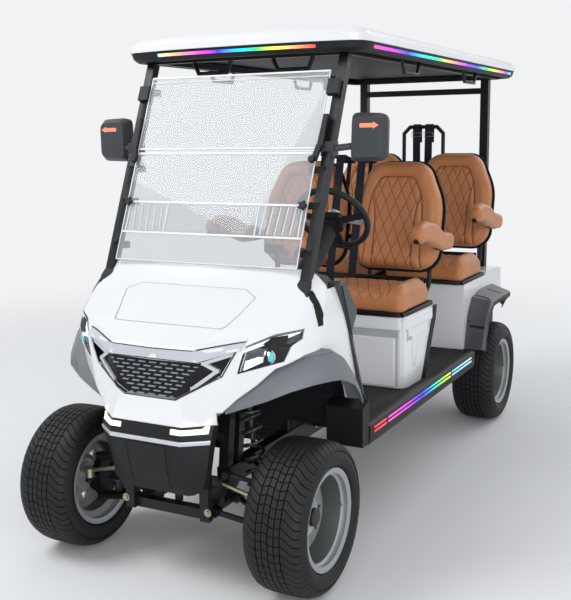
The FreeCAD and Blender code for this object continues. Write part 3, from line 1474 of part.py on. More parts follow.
def armrest(shift, side):
    """Padded armrest with its hinge bore at the rear end."""
    lift = REAR_POD_TOP - POD_TOP if shift else 0.0
    py, pz = ARM_PIVOT[0] + shift, ARM_PIVOT[1] + lift
    tip = py - ARM_LENGTH
    body = prism([
        (py + 60, pz - 40, 34), (py + 86, pz + 30, 34), (py + 10, pz + 56, 50), (py - 74, pz + 66, 60),
        (tip + 230, pz + 117, 80), (tip + 100, pz + 138, 80), (tip, pz + 114, 40), (tip + 10, pz + 38, 22),
        (tip + 100, pz + 38, 60), (py - 94, pz - 28, 60),
    ], "YZ", ARM_INNER, ARM_OUTER)
    bore = rod((ARM_INNER - 5, py, pz), (ARM_OUTER + 5, py, pz), ARM_PIN_RADIUS + FIT)
    body = body.cut(bore)
    return body if side > 0 else mirrored(body)


BELT_X = (40.0, 84.0)
BELT_TOP = 604.0
BELT_THICK = 3.0


def seat_belts():
    """Each front seat's belt: webbing down the back's inner shoulder, from a guide on a post."""
    low, high = BELT_X
    behind = BACK_THICK + 12.3
    back = prism([(-BELT_THICK - SEAT_GAP, BACK_LOW), (-BELT_THICK - SEAT_GAP, BELT_TOP), (behind, BELT_TOP),
                  (behind, BELT_TOP - BELT_THICK), (-SEAT_GAP, BELT_TOP - BELT_THICK), (-SEAT_GAP, BACK_LOW)],
                 "YZ", low, high)
    post = rod(((low + high) / 2, behind, 212.5), ((low + high) / 2, behind, BELT_TOP - BELT_THICK), 11.0)
    upper = leaned(fuse([back, post]), 0.0)
    slope = math.tan(math.radians(BACK_LEAN_DEG))
    knee = 143.4
    front = BACK_FOOT[0] - (BELT_THICK + SEAT_GAP) / math.cos(math.radians(BACK_LEAN_DEG))
    top = BACK_FOOT[1] + BACK_LOW + 6
    foot = CUSHION_BOTTOM
    tail = prism([(knee, foot), (knee, BACK_FOOT[1] + (knee - front) / slope),
                  (front + slope * (top - BACK_FOOT[1]), top),
                  (front + BELT_THICK + slope * (top - BACK_FOOT[1]), top),
                  (knee + BELT_THICK, BACK_FOOT[1] + (knee - front) / slope), (knee + BELT_THICK, foot)],
                 "YZ", low, high)
    return both_sides(fuse([upper, tail]))


def bag_frame():
    """Golf-bag hoop behind the rear seats and the bag tray at the tail."""
    top = 1736.0
    y = REAR_PILLAR_Y + 10
    low = REAR_DECK_TOP + 20
    beam = REAR_PILLAR_X - REAR_PILLAR_TUBE / 2 - SEAT_GAP
    return fuse([
        bent_rod([(128, y, low), (128, y, top - 40), (88, y, top), (-88, y, top),
                  (-128, y, top - 40), (-128, y, low)], 12.0, 12),
        rod((-beam, y, REAR_DECK_TOP + 30), (beam, y, REAR_DECK_TOP + 30), 12.0),
    ])


def bag_tray():
    """Moulded tray behind the rear body, open at the top."""
    y0, y1 = REAR_BODY_END_Y + 22, TYRE_RADIUS - FRONT_AXLE_Y
    low, high = 440.0, 560.0
    outer = prism([(-420, y0, 10), (420, y0, 10), (420, y1, 60), (-420, y1, 60)], "XY", low, high)
    inner = prism([(-412, y0 + 8, 6), (412, y0 + 8, 6), (412, y1 - 8, 54), (-412, y1 - 8, 54)], "XY",
                  low + 10, high + 10)
    inner_cut = outer.cut(inner)
    feet = []
    for side in (1, -1):
        feet.append(block(*sorted((side * (RAIL_X - 24), side * (RAIL_X + 24))), RAIL_REAR_Y - 46, y0 + 6,
                          RAIL_TOP + SEAT_GAP, 475))
        feet.append(block(*sorted((side * (RAIL_X - 26), side * (RAIL_X + 26))), y0, RAIL_REAR_Y + SEAT_GAP,
                          low, RAIL_TOP + SEAT_GAP))
    notches = feet[1::2]
    return fuse([inner_cut.cut(notches)] + feet[0::2])


def tail_lamps():
    """Red lamps that lie on the rear body's slanted end."""
    low, high = 660.0, 800.0
    lean = REAR_TAIL_LEAN / (REAR_DECK_TOP - 14 - REAR_WAIST_Z)
    foot = REAR_BODY_END_Y + lean * (REAR_DECK_TOP - 14 - low) + SEAT_GAP
    head = REAR_BODY_END_Y + lean * (REAR_DECK_TOP - 14 - high) + SEAT_GAP
    lamp = prism([(foot, low), (foot + 24, low + 6), (head + 24, high - 6), (head, high)], "YZ", 430, 494)
    return both_sides(lamp)


def main():
    os.makedirs("parts", exist_ok=True)
    wheels()
    left = knuckle()
    save("knuckle_left", [left])
    save("knuckle_right", [mirrored(left)])
    save("steering_rack", [steering_rack()])
    save("steering_gear", [steering_gear()])
    save("main_frame", [main_frame()])
    arms = suspension_arms()
    save("suspension_arms", arms + [mirrored(a) for a in arms])
    save("shock_absorbers", shock_absorbers())
    save("rear_axle", [rear_axle()])
    save("floor_pan", [floor_pan()])
    save("sills", sills())
    save("light_strips", light_strips())
    form = cowl_form(0.0)
    shell = cowl_shell()
    save("front_cowl", [front_cowl(shell)])
    save("hood_panel", [hood_panel(shell)])
    save("grille", [grille(form)])
    save("grille_trim", grille_trim(form))
    bowl, cover = headlamps(form)
    save("headlamp_bowls", both_sides(bowl))
    bumper_outer, bumper = nose_bumper()
    save("nose_bumper", [bumper])
    strip, bars = bumper_bands(bumper_outer)
    save("bumper_trim", [strip])
    save("front_lenses", both_sides(cover) + bars)
    save("front_wings", both_sides(front_wing()))
    save("dash_ends", dash_ends())
    save("front_bulkhead", [front_bulkhead()])
    save("dash", [dash()])
    save("steering_column", [steering_column()])
    save("steering_wheel", [steering_wheel()])
    save("pedals", pedals())
    save("windscreen_frame", windscreen_frame())
    save("windscreen", windscreen())
    save("mirrors", mirrors())
    save("roof", [roof()])
    save("roof_fascia", [roof_fascia()])
    save("roof_frame", [roof_frame()])
    save("grab_handles", grab_handles())
    save("front_seat_pod", [front_seat_pod()])
    save("battery_pack", [battery()])
    save("rear_body", [rear_body()])
    save("rear_wings", rear_wing())
    for name, shift in (("front", 0.0), ("rear", SEAT_PITCH)):
        save(name + "_cushions", seat_cushion(shift))
        save(name + "_backrests", backrest(shift))
        for side, hand in ((1, "left"), (-1, "right")):
            save("armrest_" + name + "_" + hand, [armrest(shift, side)])
    shells = [seat_shell(0.0), seat_shell(SEAT_PITCH)]
    save("seat_shells", shells + [mirrored(s) for s in shells])
    front_row, rear_row = seat_frames()
    save("seat_frame_front", [front_row])
    save("seat_frame_rear", [rear_row])
    save("seat_belts", seat_belts())
    save("bag_frame", [bag_frame()])
    save("bag_tray", [bag_tray()])
    save("tail_lamps", tail_lamps())


main()
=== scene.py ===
import math

import bpy
import numpy as np
from mathutils import Matrix, Vector


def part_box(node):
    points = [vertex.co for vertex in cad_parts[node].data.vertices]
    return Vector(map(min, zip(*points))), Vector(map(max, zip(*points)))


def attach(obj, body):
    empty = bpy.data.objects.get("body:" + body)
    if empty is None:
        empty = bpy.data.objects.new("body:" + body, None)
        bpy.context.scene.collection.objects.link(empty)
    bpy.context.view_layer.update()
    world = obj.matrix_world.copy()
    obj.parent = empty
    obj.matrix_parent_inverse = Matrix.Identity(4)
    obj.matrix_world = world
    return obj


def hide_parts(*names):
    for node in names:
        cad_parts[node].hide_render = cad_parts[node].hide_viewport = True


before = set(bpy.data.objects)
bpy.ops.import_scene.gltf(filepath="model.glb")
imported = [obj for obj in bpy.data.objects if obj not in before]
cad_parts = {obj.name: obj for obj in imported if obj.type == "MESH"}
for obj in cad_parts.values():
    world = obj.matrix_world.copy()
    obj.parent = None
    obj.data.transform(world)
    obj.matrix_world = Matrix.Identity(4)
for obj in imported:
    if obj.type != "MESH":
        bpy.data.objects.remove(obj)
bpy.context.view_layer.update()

# Ladder frame, roof posts and all painted steel.
# Square and round tube, welded, powder coated satin black with a faint orange peel;
# the bolts that hold it to the axles are zinc plated.


def tint(red, green, blue):
    """A colour as it is seen, turned into the renderer's light values."""
    return tuple(((c + 0.055) / 1.055) ** 2.4 if c > 0.04045 else c / 12.92
                 for c in (red, green, blue)) + (1.0,)


def wired(tree, nodes, links, **known):
    """Adds nodes (name: kind, or kind, settings and socket values) and joins them ("from.output > to.input")."""
    for name, node in nodes.items():
        kind, settings, values = node if isinstance(node, tuple) else (node, {}, {})
        known[name] = made = tree.nodes.new("ShaderNode" + kind)
        for setting, value in settings.items():
            setattr(made, setting, value)
        for socket, value in values.items():
            made.inputs[socket].default_value = value
    for link in links:
        (start, output), (end, entry) = [spot.split(".") for spot in link.split(" > ")]
        tree.links.new(known[start].outputs[int(output) if output.isdigit() else output],
                       known[end].inputs[int(entry) if entry.isdigit() else entry])
    return known


def group_of(name, inputs, outputs):
    """A new node group with its two ends; its sockets are listed by their kind."""
    tree = bpy.data.node_groups.new(name, "ShaderNodeTree")
    for way, sockets in (("INPUT", inputs), ("OUTPUT", outputs)):
        for kind, labels in sockets.items():
            for label in labels:
                tree.interface.new_socket(label, in_out=way, socket_type="NodeSocket" + kind)
    return tree, {"given": tree.nodes.new("NodeGroupInput"), "made": tree.nodes.new("NodeGroupOutput")}


def surface_group():
    """Patchy colour and gloss, a fine grain and softened edges, for any moulded or coated part."""
    tree, ends = group_of(
        "patchy_surface",
        {"Color": ("Colour", "Patch Colour"),
         "Float": ("Patch Scale", "Grain Scale", "Grain Depth", "Roughness", "Roughness Spread", "Edge Radius")},
        {"Color": ("Colour",), "Float": ("Roughness",), "Vector": ("Normal",)})
    wired(tree, {
        "place": "TexCoord", "patches": ("TexNoise", {}, {"Detail": 4.0}), "grain": ("TexNoise", {}, {"Detail": 2.0}),
        "blend": ("Mix", {"data_type": "RGBA"}, {}), "centred": ("Math", {"operation": "SUBTRACT"}, {1: 0.5}),
        "spread": ("Math", {"operation": "MULTIPLY_ADD"}, {}), "bump": ("Bump", {}, {"Distance": 0.001}),
        "edge": ("Bevel", {"samples": 4}, {}),
    }, (
        "place.Object > patches.Vector", "given.Patch Scale > patches.Scale",
        "place.Object > grain.Vector", "given.Grain Scale > grain.Scale",
        "patches.Fac > blend.Factor", "given.Colour > blend.6", "given.Patch Colour > blend.7", "blend.2 > made.Colour",
        "patches.Fac > centred.0", "centred.0 > spread.0", "given.Roughness Spread > spread.1",
        "given.Roughness > spread.2", "spread.0 > made.Roughness", "given.Edge Radius > edge.Radius",
        "edge.Normal > bump.Normal", "grain.Fac > bump.Height", "given.Grain Depth > bump.Strength",
        "bump.Normal > made.Normal"), **ends)
    return tree


patchy = surface_group()


def shader(name, **plain):
    """A new material and its Principled shader, with the plain values set on the shader."""
    material = bpy.data.materials.new(name)
    material.use_nodes = True
    coat = material.node_tree.nodes["Principled BSDF"]
    for socket, value in plain.items():
        coat.inputs[socket.replace("_", " ")].default_value = value
    return material, material.node_tree, coat


def finish(name, colour, patch_colour, patch=6.0, grain=400.0, depth=0.1, rough=0.4, spread=0.1,
           edge=0.002, **plain):
    """A coated or moulded surface from the patchy group."""
    material, tree, coat = shader(name, **plain)
    wired(tree, {"skin": ("Group", {"node_tree": patchy, "name": "skin"}, {
        "Colour": colour, "Patch Colour": patch_colour, "Patch Scale": patch, "Grain Scale": grain,
        "Grain Depth": depth, "Roughness": rough, "Roughness Spread": spread, "Edge Radius": edge})},
        ("skin.Colour > coat.Base Color", "skin.Roughness > coat.Roughness", "skin.Normal > coat.Normal"), coat=coat)
    return material


def dress(material, *nodes, split=32.0):
    """Gives CAD nodes their finish and shades their facets as curves up to the split angle."""
    for node in nodes:
        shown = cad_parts[node]
        shown.data.materials.clear()
        shown.data.materials.append(material)
        if "custom_normal" in shown.data.attributes:
            shown.data.attributes.remove(shown.data.attributes["custom_normal"])
        shown.data.shade_smooth()
        weld = shown.modifiers.new("weld", "WELD")
        weld.merge_threshold = 0.00002
        crease = shown.modifiers.new("crease", "EDGE_SPLIT")
        crease.split_angle = math.radians(split)


def repaint(node, material, chosen):
    """Another material on the faces of a CAD node whose middle and direction pass a test."""
    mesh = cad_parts[node].data
    mesh.materials.append(material)
    for face in mesh.polygons:
        if chosen(face.center, face.normal):
            face.material_index = len(mesh.materials) - 1


def part(name, points, faces, body, material, smooth=35.0):
    """A new mesh that rides on a body."""
    mesh = bpy.data.meshes.new(name)
    mesh.from_pydata([tuple(p) for p in points], [], faces)
    mesh.materials.append(material)
    mesh.validate()
    made = bpy.data.objects.new(name, mesh)
    bpy.context.scene.collection.objects.link(made)
    if smooth:
        mesh.shade_smooth()
        mesh.set_sharp_from_angle(angle=math.radians(smooth))
    if body:
        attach(made, body)
    return made


class Shape:
    """Points and faces of several small solids gathered for one mesh."""

    def __init__(self):
        self.points = []
        self.faces = []

    def add(self, points, faces):
        start = len(self.points)
        self.points += [Vector(p) for p in points]
        self.faces += [[start + i for i in face] for face in faces]

    def rings(self, rings, closed=False, caps=True):
        """A skin through rings of equally many points."""
        count = len(rings[0])
        faces = []
        pairs = range(len(rings) if closed else len(rings) - 1)
        for i in pairs:
            here, there = i * count, (i + 1) % len(rings) * count
            for k in range(count):
                after = (k + 1) % count
                faces.append([here + k, here + after, there + after, there + k])
        if caps and not closed:
            faces.append(list(range(count))[::-1])
            faces.append([(len(rings) - 1) * count + k for k in range(count)])
        self.add([p for ring in rings for p in ring], faces)

    def rod(self, start, end, radius, sides=16, tip=None):
        """A round bar, or a cone where tip is another radius."""
        start, end = Vector(start), Vector(end)
        along = (end - start).normalized()
        across = along.orthogonal().normalized()
        over = along.cross(across)
        ends = ((start, radius), (end, radius if tip is None else tip))
        self.rings([[at + (across * a + over * b) * size for a, b in circle(1.0, sides)] for at, size in ends])

    def stack(self, at, way, steps):
        """Round bars standing one on another: length, radius, sides and, where it narrows, the tip's radius."""
        for long, radius, sides, *tip in steps:
            self.rod(at, at + Vector(way) * long, radius, sides, *tip)
            at = at + Vector(way) * long

    def plate(self, place, outline, *levels):
        """A flat outline carried through levels; place gives the point for an outline's corner and a level."""
        self.rings([[place(a, b, level) for a, b in outline] for level in levels])

    def sweep(self, path, section, up=(0, 0, 1), closed=False):
        """A bar whose flat section, a list of (across, over), follows a path."""
        path = [Vector(p) for p in path]
        rings = []
        for i, at in enumerate(path):
            before = path[i - 1] if i or closed else at
            after = path[(i + 1) % len(path)] if i + 1 < len(path) or closed else at
            along = (after - before).normalized()
            across = along.cross(Vector(up))
            across = (across if across.length > 0.01 else along.orthogonal()).normalized()
            over = across.cross(along)
            rings.append([at + across * a + over * b for a, b in section])
        self.rings(rings, closed)

    def box(self, low, high):
        corners = [(x, y, z) for z in (low[2], high[2]) for x, y in
                   ((low[0], low[1]), (high[0], low[1]), (high[0], high[1]), (low[0], high[1]))]
        self.rings([corners[:4], corners[4:]])

    def mirror(self):
        """The same solids on the other side of the cart as well."""
        count = len(self.points)
        self.points += [Vector((-p.x, p.y, p.z)) for p in self.points[:count]]
        self.faces += [[count + i for i in reversed(face)] for face in self.faces[:]]
        return self

    def piece(self, name, material, slot=None, smooth=35.0, bevel=0.0, body="chassis"):
        made = part(name, self.points, self.faces, body, material, smooth)
        if bevel:
            soft = made.modifiers.new("soft_edges", "BEVEL")
            soft.width, soft.segments = bevel, 2
            soft.limit_method, soft.angle_limit = "ANGLE", math.radians(40)
        return made

    def pair(self, *what, **how):
        """The piece on both sides of the cart, as one mesh."""
        return self.mirror().piece(*what, **how)


SQUARE = ((-1, -1), (1, -1), (1, 1), (-1, 1))


def circle(radius, sides):
    """The corners of a flat circle."""
    return [(radius * math.cos(2 * math.pi * k / sides), radius * math.sin(2 * math.pi * k / sides))
            for k in range(sides)]


coated_steel = finish("coated_steel", tint(0.062, 0.065, 0.074), tint(0.088, 0.092, 0.10), patch=9, grain=900,
                      depth=0.15, rough=0.36, spread=0.12, edge=0.0025, Specular_IOR_Level=0.32)
zinc = finish("zinc_plate", tint(0.74, 0.71, 0.62), tint(0.62, 0.6, 0.5), patch=60, grain=700, depth=0.1,
              rough=0.32, spread=0.2, edge=0.001, Metallic=0.9)
dress(coated_steel, "main_frame", "roof_frame", "grab_handles", "suspension_arms", "knuckle_left",
      "knuckle_right", "steering_gear", "seat_frame_front", "seat_frame_rear", "bag_frame", "windscreen_frame")

bolts = Shape()
BOLT_SPOTS = (
    ((0.189, -1.4925, 0.296), (0, -1, 0)), ((0.185, -1.493, 0.60), (0, -1, 0)),
    ((0.231, -0.64, 0.41), (1, 0, 0)), ((0.231, 0.52, 0.41), (1, 0, 0)),
    ((0.392, 1.424, 1.10), (0, 1, 0)), ((0.392, 1.424, 1.85), (0, 1, 0)),
)
for spot, way in BOLT_SPOTS:
    bolts.stack(Vector(spot), way, ((0.0025, 0.0155, 20), (0.008, 0.0105, 6)))
bolts.pair("frame_bolts", zinc, smooth=20)

# Rear axle, final drive and motor, with the battery box under the front seat.
# Cast and pressed steel, painted black, dusty where the wheels throw dirt.
axle_paint = finish("axle_paint", tint(0.13, 0.13, 0.13), tint(0.25, 0.24, 0.22), patch=14, grain=300, depth=0.5,
                    rough=0.6, spread=0.3, edge=0.002)
battery_case = finish("battery_case", tint(0.2, 0.21, 0.25), tint(0.17, 0.17, 0.2), rough=0.5)
dress(axle_paint, "rear_axle")
dress(battery_case, "battery_pack")

# Steering rack and its tie rods.
# Zinc plated bar and rods, with black rubber bellows over the rack's ends.
bellows_rubber = finish("bellows_rubber", tint(0.1, 0.1, 0.1), tint(0.16, 0.16, 0.16), rough=0.62, depth=0.3)
dress(zinc, "steering_rack")
RACK_Y, RACK_Z, RACK_END = -1.4323, 0.399, 0.214
bellows = Shape()
folds = []
for fold in range(9):
    away = RACK_END - 0.066 + 0.008 * fold
    folds += [(away, 0.0165), (away + 0.004, 0.0225)]
folds.append((RACK_END + 0.008, 0.0155))
bellows.rings([[Vector((away, RACK_Y + radius * a, RACK_Z + radius * b)) for a, b in circle(1.0, 24)]
               for away, radius in folds])
bellows.pair("rack_bellows", bellows_rubber, "frame_black", smooth=50, body="steering_rack")

# Coil-over dampers, two in front and two behind.
# A wound spring round a painted damper, held between two cups; the rod end is bright.
spring_paint = finish("spring_paint", tint(0.17, 0.17, 0.18), tint(0.12, 0.12, 0.13), rough=0.3, depth=0.2,
                      edge=0.0008)
SHOCKS = (((0.342, -1.345, 0.2402), (0.290, -1.345, 0.700)), ((0.300, 1.207, 0.298), (0.280, 1.193, 0.660)))
COIL_RADIUS, WIRE_RADIUS, COIL_TURNS = 0.036, 0.0075, 7.0
# Parts of a damper: how far up it starts and ends (negative: from its head), radius
DAMPER_PARTS = ((0.0, 0.030, 0.017), (0.030, 0.20, 0.022), (0.062, 0.070, 0.041), (-0.17, -0.028, 0.0095),
                (-0.034, -0.026, 0.041), (-0.03, 0.0, 0.015))
COIL_FOOT, COIL_LOSS, COIL_STEPS = 0.072, 0.108, 26
springs = Shape()
for foot, head in SHOCKS:
    foot, head = Vector(foot), Vector(head)
    along = (head - foot).normalized()
    across = along.orthogonal().normalized()
    over = along.cross(across)
    length = (head - foot).length
    for low, high, radius in DAMPER_PARTS:
        low, high = (low, high) if high > 0 else (low + length, high + length)
        springs.rod(foot + along * low, foot + along * high, radius, 20)
    wire = []
    steps = int(COIL_TURNS * COIL_STEPS)
    for step in range(steps + 1):
        share = step / steps
        turn = 2 * math.pi * COIL_TURNS * share
        rise = COIL_FOOT + (length - COIL_LOSS) * share
        wire.append(foot + along * rise + (across * math.cos(turn) + over * math.sin(turn)) * COIL_RADIUS)
    springs.sweep(wire, circle(WIRE_RADIUS, 8), up=along)
dampers = springs.pair("coil_over_dampers", spring_paint, "spring_steel")
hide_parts("shock_absorbers")

# Tyres: low road pattern on a wide carcass.
# Black rubber; four rows of small blocks with wavy cross grooves, long slanted shoulder blocks,
# and one moulded ring on the sidewall.
TYRE_AT = {"front_left": (0.520, -1.345), "front_right": (-0.520, -1.345),
           "rear_left": (0.495, 1.135), "rear_right": (-0.495, 1.135)}
HUB_HEIGHT, TREAD_RADIUS, TREAD_PITCHES = 0.292, 0.2915, 56
PITCH = 2 * math.pi * TREAD_RADIUS / TREAD_PITCHES
# From the tread's middle outwards, mm: way across the tread, groove floor x and r, block top x and r
TREAD_LINE = ((0, 0, 284, 0, 291.5), (50, 50, 283.5, 50, 291), (74, 73, 281, 76, 288.5),
              (92, 89, 275, 94, 282), (108, 102, 266, 108, 271.5), (124, 112, 253, 117, 256))
TREAD_WAYS, *TREAD_CURVES = zip(*TREAD_LINE)
# Stations across one block of each middle row, then of the shoulder rows, mm
ROWS = ((-46, -25.5), (-23, -1.5), (1.5, 23), (25.5, 46))
SHOULDER = (49, 56, 64, 73, 82, 92, 102, 112, 122)
ROW_GROOVE, SHOULDER_GROOVE, BLOCK_CHAMFER, SIDE_HEIGHT, ROOT_DEPTH = 0.0032, 0.0035, 0.0012, 0.85, -0.2
GROOVE_WAVE, WAVE_REACH, SLANT, SLANT_FROM, SLANT_OVER = 0.0065, 46.0, 0.036, 47.0, 56.0
# Sidewall from the tread's edge to the bead, mm
SIDEWALL = ((119, 240), (120.2, 232), (121.6, 230), (121.6, 227), (120, 225), (119, 214), (114, 204), (106, 198.5),
            (98, 197), (98, 178))


def on_tread(across, around, top):
    """A point of the tread: how far across, how far round, and 1 on top of a block or 0 in a groove."""
    floor_x, floor_r, block_x, block_r = (np.interp(abs(across), TREAD_WAYS, curve) for curve in TREAD_CURVES)
    x = (floor_x + (block_x - floor_x) * top) * (1 if across > 0 else -1) / 1000
    radius = (floor_r + (block_r - floor_r) * top) / 1000
    turn = around / TREAD_RADIUS
    return Vector((x, -radius * math.sin(turn), radius * math.cos(turn)))


def groove_line(across):
    """How far round the tyre a cross groove has wandered at this way across, in metres."""
    wave = GROOVE_WAVE * math.sin(math.pi * max(-WAVE_REACH, min(WAVE_REACH, across)) / WAVE_REACH)
    run = max(0.0, min(1.0, (abs(across) - SLANT_FROM) / SLANT_OVER))
    return wave + SLANT * (3 * run ** 2 - 2 * run ** 3) * (1 if across > 0 else -1)


def tread_block(shape, stations, start, long):
    """One block between two cross grooves, from a list of ways across."""
    sections = []
    for i, across in enumerate(stations):
        end = (1 if i == 0 else -1 if i == len(stations) - 1 else 0) * BLOCK_CHAMFER * 1000
        line = start + groove_line(across)
        sections.append([on_tread(way, around, top) for way, around, top in (
            (across, line, ROOT_DEPTH), (across, line, SIDE_HEIGHT), (across + end, line + BLOCK_CHAMFER, 1.0),
            (across + end, line + long - BLOCK_CHAMFER, 1.0), (across, line + long, SIDE_HEIGHT),
            (across, line + long, ROOT_DEPTH))])
    shape.rings(sections)


def tyre_shape(steps=96):
    """The carcass with its sidewalls, and all tread blocks on it."""
    shape = Shape()
    half = [(x, r) for _, x, r, _, _ in TREAD_LINE] + list(SIDEWALL)
    full = [(-x, r) for x, r in reversed(half[1:])] + half + [(97, 176.9), (-97, 176.9)]
    shape.rings([[Vector((x / 1000, -r / 1000 * math.sin(2 * math.pi * k / steps),
                          r / 1000 * math.cos(2 * math.pi * k / steps))) for x, r in full]
                 for k in range(steps)], closed=True)
    for k in range(TREAD_PITCHES):
        start = k * PITCH
        for low, high in ROWS:
            middle = (low + high) / 2
            stations = (low, (low + middle) / 2, middle, (high + middle) / 2, high)
            tread_block(shape, stations, start, PITCH - ROW_GROOVE)
        for side in (1, -1):
            tread_block(shape, sorted(side * across for across in SHOULDER), start, PITCH - SHOULDER_GROOVE)
    return shape


rubber = finish("tyre_rubber", tint(0.085, 0.088, 0.095), tint(0.12, 0.12, 0.125), patch=11, grain=650, depth=0.35,
                rough=0.58, spread=0.25, edge=0.0012, Specular_IOR_Level=0.3)
one_tyre = tyre_shape()
for corner, (x, y) in TYRE_AT.items():
    turn = 1 if x > 0 else -1
    points = [Vector((p.x * turn + x, p.y * turn + y, p.z + HUB_HEIGHT)) for p in one_tyre.points]
    fitted = part("tyre_tread_" + corner, points, one_tyre.faces, "wheel_" + corner, rubber, smooth=28)
    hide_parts("tyre_" + corner)

# Wheels: rolled steel rims with a pressed disc.
# Painted silver outside, with rolled steps round the dish and a duller grey barrel behind them; wheel nuts,
# a valve and a black hub cap are added.
wheel_paint = finish("wheel_silver", tint(0.70, 0.71, 0.72), tint(0.62, 0.63, 0.64), patch=12, grain=900,
                     depth=0.08, rough=0.34, spread=0.1, edge=0.0015, Metallic=0.55)
cap_plastic = finish("hub_cap_black", tint(0.1, 0.1, 0.11), tint(0.13, 0.13, 0.14), rough=0.35)
dress(wheel_paint, *["rim_" + corner for corner in TYRE_AT])
barrel_paint = finish("wheel_barrel", tint(0.37, 0.39, 0.39), tint(0.28, 0.30, 0.30), patch=10, grain=900, depth=0.1,
                      rough=0.42, spread=0.1, edge=0.0015, Metallic=0.35)
BARREL_FROM, BARREL_TO, BARREL_FLAT = 0.118, 0.168, 0.55
# Rolled steps: way out from the rim's middle, radius, thickness of the bead
RIM_STEPS = ((0.0975, 0.1765, 0.0022), (0.087, 0.1735, 0.0018), (0.0765, 0.1655, 0.0022), (0.060, 0.1695, 0.0016),
             (0.043, 0.159, 0.0018))
NUT_CIRCLE, CAP_RADIUS = 0.0565, 0.0352
for corner, (x, y) in TYRE_AT.items():
    repaint("rim_" + corner, barrel_paint, lambda at, out: abs(out.x) < BARREL_FLAT
            and BARREL_FROM < math.hypot(at.y - y, at.z - HUB_HEIGHT) < BARREL_TO)
    side, body = 1 if x > 0 else -1, "wheel_" + corner
    nuts, cap, steps = Shape(), Shape(), Shape()
    for away, radius, wire in RIM_STEPS:
        steps.sweep([Vector((x + side * away, y + radius * a, HUB_HEIGHT + radius * b)) for a, b in circle(1.0, 72)],
                    circle(wire, 8), up=(1, 0, 0), closed=True)
    steps.piece("rim_steps_" + corner, wheel_paint, "wheel_silver", smooth=60, body=body)
    for k in range(4):
        turn = math.pi / 4 + math.pi / 2 * k
        at = Vector((x, y + NUT_CIRCLE * math.sin(turn), HUB_HEIGHT + NUT_CIRCLE * math.cos(turn)))
        nuts.stack(at, (side, 0, 0), ((0.014, 0.0085, 6), (0.006, 0.0075, 12, 0.004)))
    stem = Vector((x + side * 0.058, y + 0.164, HUB_HEIGHT))
    nuts.rod(stem, stem + Vector((side * 0.03, -0.012, 0)), 0.0042, 10)
    nuts.piece("wheel_nuts_" + corner, zinc, "zinc_steel", smooth=25, body=body)
    cap.stack(Vector((x + side * 0.036, y, HUB_HEIGHT)), (side, 0, 0),
              ((0.0135, CAP_RADIUS, 28), (0.0055, CAP_RADIUS, 28, 0.024)))
    cap.piece("hub_cap_" + corner, cap_plastic, "black_moulding", body=body)

# Floor, sills and inner front wall.
# Black moulded plastic with a fine spark grain; the floor's ribs run fore and aft in rubber.
black_plastic = finish("black_moulding", tint(0.072, 0.076, 0.086), tint(0.098, 0.102, 0.112), patch=5, grain=1200,
                       depth=0.35, rough=0.5, spread=0.12, edge=0.003, Specular_IOR_Level=0.3)
floor_rubber = finish("floor_rubber", tint(0.10, 0.10, 0.11), tint(0.15, 0.15, 0.16), patch=7, grain=500,
                      depth=0.5, rough=0.68, spread=0.2, edge=0.0015, Specular_IOR_Level=0.3)
dress(floor_rubber, "floor_pan")
dress(black_plastic, "sills", "front_bulkhead", "dash", "steering_column", "pedals", "bag_tray")

# Light strips along the sills and the roof's edge.
# Frosted tube over coloured diodes, whose colours run into each other along the cart.
# Colour stops from one end to the other: place along the strip, colour
FRONT_STRIP = ((0.0, (0.62, 0.98, 0.75)), (0.1, (1.0, 0.72, 0.5)), (0.2, (1.0, 0.5, 0.62)), (0.31, (0.95, 0.25, 0.85)),
               (0.42, (0.25, 0.2, 1.0)), (0.54, (0.1, 0.75, 1.0)), (0.66, (0.15, 0.95, 0.45)),
               (0.78, (0.95, 0.95, 0.3)), (0.88, (1.0, 0.62, 0.4)), (1.0, (1.0, 0.25, 0.25)))
SIDE_STRIP = ((0.0, (1.0, 0.3, 0.55)), (0.08, (0.85, 0.2, 1.0)), (0.18, (0.2, 0.25, 1.0)), (0.28, (0.1, 0.85, 1.0)),
              (0.37, (0.2, 1.0, 0.5)), (0.46, (1.0, 0.7, 0.45)), (0.53, (1.0, 0.35, 0.75)), (0.6, (0.5, 0.2, 1.0)),
              (0.68, (0.15, 0.35, 1.0)), (0.76, (0.2, 1.0, 0.45)), (0.83, (1.0, 0.95, 0.3)),
              (0.89, (1.0, 0.6, 0.4)), (0.95, (0.55, 0.25, 1.0)), (1.0, (0.15, 0.9, 0.7)))
GAP = (0.05, 0.05, 0.05)
SILL_STRIP = ((0.0, (1.0, 0.12, 0.12)), (0.095, (1.0, 0.3, 0.4)), (0.098, GAP), (0.112, GAP),
              (0.115, (1.0, 0.35, 0.65)), (0.22, (1.0, 0.25, 0.85)), (0.33, (0.7, 0.2, 1.0)),
              (0.42, (0.25, 0.2, 1.0)), (0.50, (0.1, 0.6, 1.0)), (0.58, (0.1, 1.0, 0.7)), (0.66, (0.7, 1.0, 0.25)),
              (0.735, (1.0, 0.95, 0.2)), (0.738, GAP), (0.752, GAP), (0.755, (0.45, 0.85, 1.0)),
              (1.0, (0.75, 0.9, 1.0)))


def strip_material(name, axis, start, end, stops):
    """A glowing strip whose colour is read off a ramp between two places along one axis."""
    material, tree, coat = shader(name, Emission_Strength=0.9, Roughness=0.3)
    made = wired(tree, {"place": "TexCoord", "split": "SeparateXYZ", "ramp": "ValToRGB",
                        "span": ("MapRange", {}, {"From Min": start, "From Max": end})},
                 ("place.Object > split.0", "split." + axis + " > span.Value", "span.Result > ramp.Fac",
                  "ramp.Color > coat.Emission Color", "ramp.Color > coat.Base Color"), coat=coat)
    colours = made["ramp"].color_ramp.elements
    while len(colours) < len(stops):
        colours.new(0.5)
    for element, (share, colour) in zip(colours, stops):
        element.position = share
        element.color = tint(*colour)
    return material


